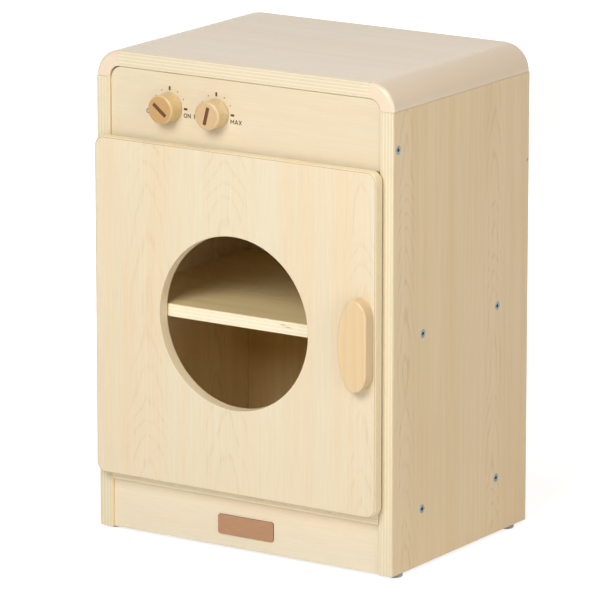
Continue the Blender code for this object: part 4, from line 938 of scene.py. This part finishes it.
for which in ("upper", "lower"):
    frame_node, door_node = which + "_hinge_frame_leaf", which + "_hinge_door_leaf"
    low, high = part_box(frame_node)
    length, axis = high.z - low.z, Vector((low.x + BARREL, low.y + BARREL, (low.z + high.z) / 2))
    inner, reach, stop = BARREL - LEAF_THICKNESS, high.x - axis.x, 90 + FRAME_ROLL
    frame_outline = [(reach, inner)] + arc((0, 0), inner, 90, stop, 48) + arc((0, 0), BARREL, stop, 90, 48)
    frame_outline.append((reach, BARREL))
    rear = inner - LEAF_CLEARANCE
    front, reach = rear - LEAF_THICKNESS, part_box(door_node)[1].x - axis.x
    enter, leave = math.degrees(math.asin(front / BARREL)), math.degrees(math.asin(rear / inner))
    door_outline = [(reach, front)] + arc((0, 0), BARREL, enter, leave - DOOR_ROLL, 48)
    door_outline += arc((0, 0), inner, leave - DOOR_ROLL, leave, 48) + [(reach, rear)]
    matrix = Matrix.Translation(axis)
    for node, outline, first, body in (
        (frame_node, frame_outline, 1, "cabinet"),
        (door_node, door_outline, 0, "door"),
    ):
        leaf = cut_away(pulled(outline, length), *knuckle_gaps(length, first))
        finished(node + "_rolled", leaf, matrix, [zinc], body, "zinc_plated_steel", node)
    node = which + "_hinge_pin"
    low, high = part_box(node)
    half = (high.z - low.z) / 2
    cap = [(0, half), (CAP_RADIUS - CAP_EDGE, half), (CAP_RADIUS, half - CAP_EDGE)]
    cap += [(CAP_RADIUS, half - CAP_HEIGHT), (PIN_RADIUS, half - CAP_HEIGHT)]
    pin = turned(cap + [(radius, -z) for radius, z in reversed(cap)], 32)
    matrix = Matrix.Translation((low + high) / 2)
    finished(node + "_headed", pin, matrix, [zinc], "cabinet", "zinc_plated_steel", node)
print("Two hinges with", HINGE_KNUCKLES, "knuckles each")

# %% [markdown]
# ## Small screws
#
# The hinges and the strike plate have countersunk screws, the handle and the catch have pan-head ones. All have
# a cross recess, which two thin blocks cut. A screw's head is what shows, so its recess is real geometry and
# its thread is left out.

# %% Small screws
# A flat head is its radius, shank radius, length and recess depth. A pan head is its radius, height, shank
# radius and length.
FLAT_HEAD = (0.0024, 0.0012, 0.010, 0.0007)
HANDLE_HEAD = (0.004, 0.0022, 0.002, 0.025)
CATCH_HEAD = (0.0026, 0.0016, 0.0012, 0.012)
HEAD_BREAK = 0.0001
CROSS_TWIST = 25.0


def cross_recess(long, thin, floor, top):
    """Two cutters for the cross in a screw's head."""
    return [block((-x, -y, floor), (x, y, top)) for x, y in ((long, thin), (thin, long))]


def flat_head(radius, shank, length, depth):
    """A countersunk screw with its face at 0."""
    outline = [(0, 0), (radius - HEAD_BREAK, 0), (radius, -HEAD_BREAK), (shank, shank - radius)]
    screw = turned(outline + [(shank, -length), (0, -length)], 32)
    return cut_away(screw, *cross_recess(radius * 0.55, radius * 0.14, -depth, depth))


def pan_head(radius, height, shank, length):
    """A pan-head screw that seats at 0."""
    top = arc((0, 0), (radius, height), 90, 12, 8)
    screw = turned(top + [(radius, 0), (shank, 0), (shank, -length), (0, -length)], 32)
    return cut_away(screw, *cross_recess(radius * 0.5, radius * 0.13, height * 0.5, height * 2))


frame_screws = [f"hinge_frame_screw_{number}" for number in range(1, 5)]
door_screws = [f"hinge_door_screw_{number}" for number in range(1, 5)] + ["strike_screw"]
handle_screws = ["handle_screw_1", "handle_screw_2"]
catch_screws = ["catch_screw_1", "catch_screw_2"]
for nodes, make, sizes, rise, direction, body in (
    (frame_screws, flat_head, FLAT_HEAD, 0.0, (0, -1, 0), "cabinet"),
    (door_screws, flat_head, FLAT_HEAD, 0.0, (0, 1, 0), "door"),
    (handle_screws, pan_head, HANDLE_HEAD, HANDLE_HEAD[1], (0, 1, 0), "door"),
    (catch_screws, pan_head, CATCH_HEAD, CATCH_HEAD[1], (-1, 0, 0), "cabinet"),
):
    axis = [abs(value) for value in direction].index(1)
    for number, node in enumerate(nodes):
        low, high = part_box(node)
        place = (low + high) / 2
        place[axis] = high[axis] if direction[axis] > 0 else low[axis]
        matrix = facing(direction, place - Vector(direction) * rise, CROSS_TWIST * number)
        finished(node + "_cross_head", make(*sizes), matrix, [zinc], body, "zinc_plated_steel", node)
    print(len(nodes), "screws on the", body)

# %% [markdown]
# ## Strike plate, spindles and washers
#
# The catch's magnet holds a small steel plate on the back of the door. Each knob turns together with a spindle
# that ends behind the panel in a head with a hexagon socket, a fibre washer in front of the panel and a steel
# one behind it. All are plain turned or flat pieces with a fine edge, because a real edge catches the light.

# %% Strike plate, spindles and washers
STRIKE_CORNER, STRIKE_EDGE = 0.002, 0.0002
SPINDLE_HEAD = 0.003
SPINDLE_RADIUS = 0.0025
SPINDLE_SOCKET = [(0, -0.0012), (0.0017, -0.0012), (0.0017, -0.006), (0, -0.006)]
WASHER_HOLE, WASHER_RADIUS = 0.0028, 0.0065
WASHER_BREAK, WASHER_BREAK_HEIGHT = 0.0002, 0.0001
low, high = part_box("strike_plate")
outline = rounded(high.x - low.x, high.z - low.z, STRIKE_CORNER, 8)
strike = pulled(outline, high.y - low.y, STRIKE_EDGE, STRIKE_EDGE, 2)
matrix = Matrix.Translation((low + high) / 2) @ FRONT
finished("strike_plate_eased", strike, matrix, [zinc], "door", "zinc_plated_steel", "strike_plate")
for name in KNOBS:
    node = name + "_spindle"
    low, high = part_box(node)
    tip = high.y - low.y - SPINDLE_HEAD
    profile = [(0, tip), (SPINDLE_RADIUS, tip), (SPINDLE_RADIUS, 0), (0.005, 0), (0.005, -0.0017)]
    spindle = turned(profile + [(0.0038, -SPINDLE_HEAD), (0, -SPINDLE_HEAD)], 48)
    spindle = cut_away(spindle, turned(SPINDLE_SOCKET, 6))
    matrix = facing((0, -1, 0), Vector(((low.x + high.x) / 2, high.y - SPINDLE_HEAD, (low.z + high.z) / 2)))
    finished(node + "_round", spindle, matrix, [zinc], name, "zinc_plated_steel", node)
    for which, finish, slot in (("front", red_fibre, "red_fibre"), ("rear", zinc, "zinc_plated_steel")):
        node = f"{name}_{which}_washer"
        low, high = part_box(node)
        half, rim = (high.y - low.y) / 2, WASHER_RADIUS - WASHER_BREAK
        profile = [(rim, half), (WASHER_RADIUS, half - WASHER_BREAK_HEIGHT)]
        profile += [(WASHER_RADIUS, WASHER_BREAK_HEIGHT - half), (rim, -half)]
        washer = turned(profile + [(WASHER_HOLE, -half), (WASHER_HOLE, half)], 48, True)
        matrix = facing((0, -1, 0), (low + high) / 2)
        finished(node + "_round", washer, matrix, [finish], name, slot, node)
print("Two spindles with four washers")

# %% [markdown]
# ## Surround and floor
#
# An even surround lights the object weakly from all sides, a little warm. A camera ray, a mirrored ray and a
# ray through glass see it plain white instead. The floor is matt white and takes the cabinet's soft shadow.
# Away from the cabinet its own glow takes over, so that it fades into the white surround without an edge.

# %% Surround and floor
SURROUND_SHARE = 0.09
WHITE = (1, 1, 1, 1)
FLOOR_GLOW = 1.37
FADE_START, FADE_END, FADE_LEAST = 0.35, 1.0, 0.6
FLOOR_HALF = 12.0


def looked_at(tree):
    """1 for rays that show a surface to the eye, and 0 for rays that carry its light on."""
    rays = add(tree, "LightPath", output=None).outputs
    seen = add(tree, "Math", {0: rays["Is Camera Ray"], 1: rays["Is Glossy Ray"]}, operation="MAXIMUM")
    return add(tree, "Math", {0: seen, 1: rays["Is Transmission Ray"]}, operation="MAXIMUM")


world = bpy.data.worlds.new("even white surround")
bpy.context.scene.world = world
world.use_nodes = True
tree = world.node_tree
seen = looked_at(tree)
level = add(tree, "MapRange", {0: seen, 3: SURROUND_SHARE, 4: 1.0})
tint = add(tree, "Mix", {"Factor": seen, 6: linear("FFF4E4"), 7: WHITE}, 2, data_type="RGBA")
tree.links.new(tint, tree.nodes["Background"].inputs["Color"])
tree.links.new(level, tree.nodes["Background"].inputs["Strength"])

# Matt white paint shows a soft shadow and no highlight.
floor_finish = bpy.data.materials.new("matt white studio floor")
floor_finish.use_nodes = True
tree = floor_finish.node_tree
tree.nodes.remove(tree.nodes["Principled BSDF"])
matt = add(tree, "BsdfDiffuse", {"Color": linear("F3F3F2")})
glow = add(tree, "Emission", {"Color": WHITE, "Strength": FLOOR_GLOW})
reach = add(tree, "VectorMath", {0: add(tree, "TexCoord", output="Object")}, "Value", operation="LENGTH")
fade = add(tree, "MapRange", {0: reach, 1: FADE_START, 2: FADE_END, 3: FADE_LEAST, 4: 1.0})
lifted = add(tree, "MixShader", {0: fade, 1: matt, 2: glow})
shown = add(tree, "MixShader", {0: looked_at(tree), 1: matt, 2: lifted})
tree.links.new(shown, tree.nodes["Material Output"].inputs["Surface"])
shape = bmesh.new()
bmesh.ops.create_grid(shape, x_segments=1, y_segments=1, size=FLOOR_HALF)
mesh = bpy.data.meshes.new("studio_floor")
shape.to_mesh(mesh)
shape.free()
mesh.materials.append(floor_finish)
floor = bpy.data.objects.new("studio_floor", mesh)
bpy.context.scene.collection.objects.link(floor)
print("Floor", 2 * FLOOR_HALF, "m wide")

# %% [markdown]
# ## Lamps
#
# The main soft box stands in front, slightly to the right, a third of the way up. It gives the front its level
# and throws the short shadows of the knobs and the handle. A second box high on the right lights the top, and
# two weak ones, on the right and behind on the left, fill the sides. Together they render level boards about
# as bright as their colours are written. The box behind is hidden from mirrored rays, because the top would
# show it as a white patch. A lamp's share is how bright it would make a white card that faces it.

# %% Lamps
LAMP_DISTANCE = 3.2
AIM_HEIGHT = 0.28


def soft_box(name, azimuth, elevation, size, share, colour="FFFFFF"):
    """A square area lamp aimed at the cabinet, at angles in degrees from the front and from the floor."""
    lamp = bpy.data.lights.new(name, "AREA")
    lamp.size = size
    lamp.color = linear(colour)[:3]
    lamp.energy = share * (math.pi * LAMP_DISTANCE) ** 2
    item = bpy.data.objects.new(name, lamp)
    turn, rise = math.radians(azimuth), math.radians(elevation)
    away = Vector((math.sin(turn) * math.cos(rise), -math.cos(turn) * math.cos(rise), math.sin(rise)))
    item.location = Vector((0, 0, AIM_HEIGHT)) + away * LAMP_DISTANCE
    item.rotation_euler = away.to_track_quat("Z", "Y").to_euler()
    bpy.context.scene.collection.objects.link(item)
    print(name, "has", round(lamp.energy, 1), "watts")
    return item


soft_box("key_soft_box", 8, 32, 1.5, 0.71)
soft_box("side_fill", 62, 10, 1.6, 0.20, "FFF9F0")
soft_box("top_soft_box", 85, 62, 1.6, 0.22, "FFF7EA")
soft_box("back_fill", 235, 30, 1.6, 0.26).visible_glossy = False

# %% [markdown]
# ## Camera
#
# The object is seen from the front right and a little from above, through a long lens from far away, so that
# its level edges stay nearly parallel. Colours go to the screen with the Standard view transform, which leaves
# them as they are.

# %% Camera
CAMERA_PLACE = (3.3691, -5.1175, 1.7373)
CAMERA_YAW = 33.419
CAMERA_TILT = -13.453
LENS = 330.0
SENSOR_WIDTH = 36.0
camera_data = bpy.data.cameras.new("camera")
camera_data.lens = LENS
camera_data.sensor_width = SENSOR_WIDTH
camera = bpy.data.objects.new("camera", camera_data)
camera.location = CAMERA_PLACE
camera.rotation_euler = (math.radians(90 + CAMERA_TILT), 0.0, math.radians(CAMERA_YAW))
bpy.context.scene.collection.objects.link(camera)
bpy.context.scene.camera = camera
bpy.context.scene.view_settings.view_transform = "Standard"
print("Camera", round(Vector(CAMERA_PLACE).length, 2), "m away")

# %% [markdown]
# ## Finish
#
# Last, the view layer is brought up to date.

# %% Finish
bpy.context.view_layer.update()
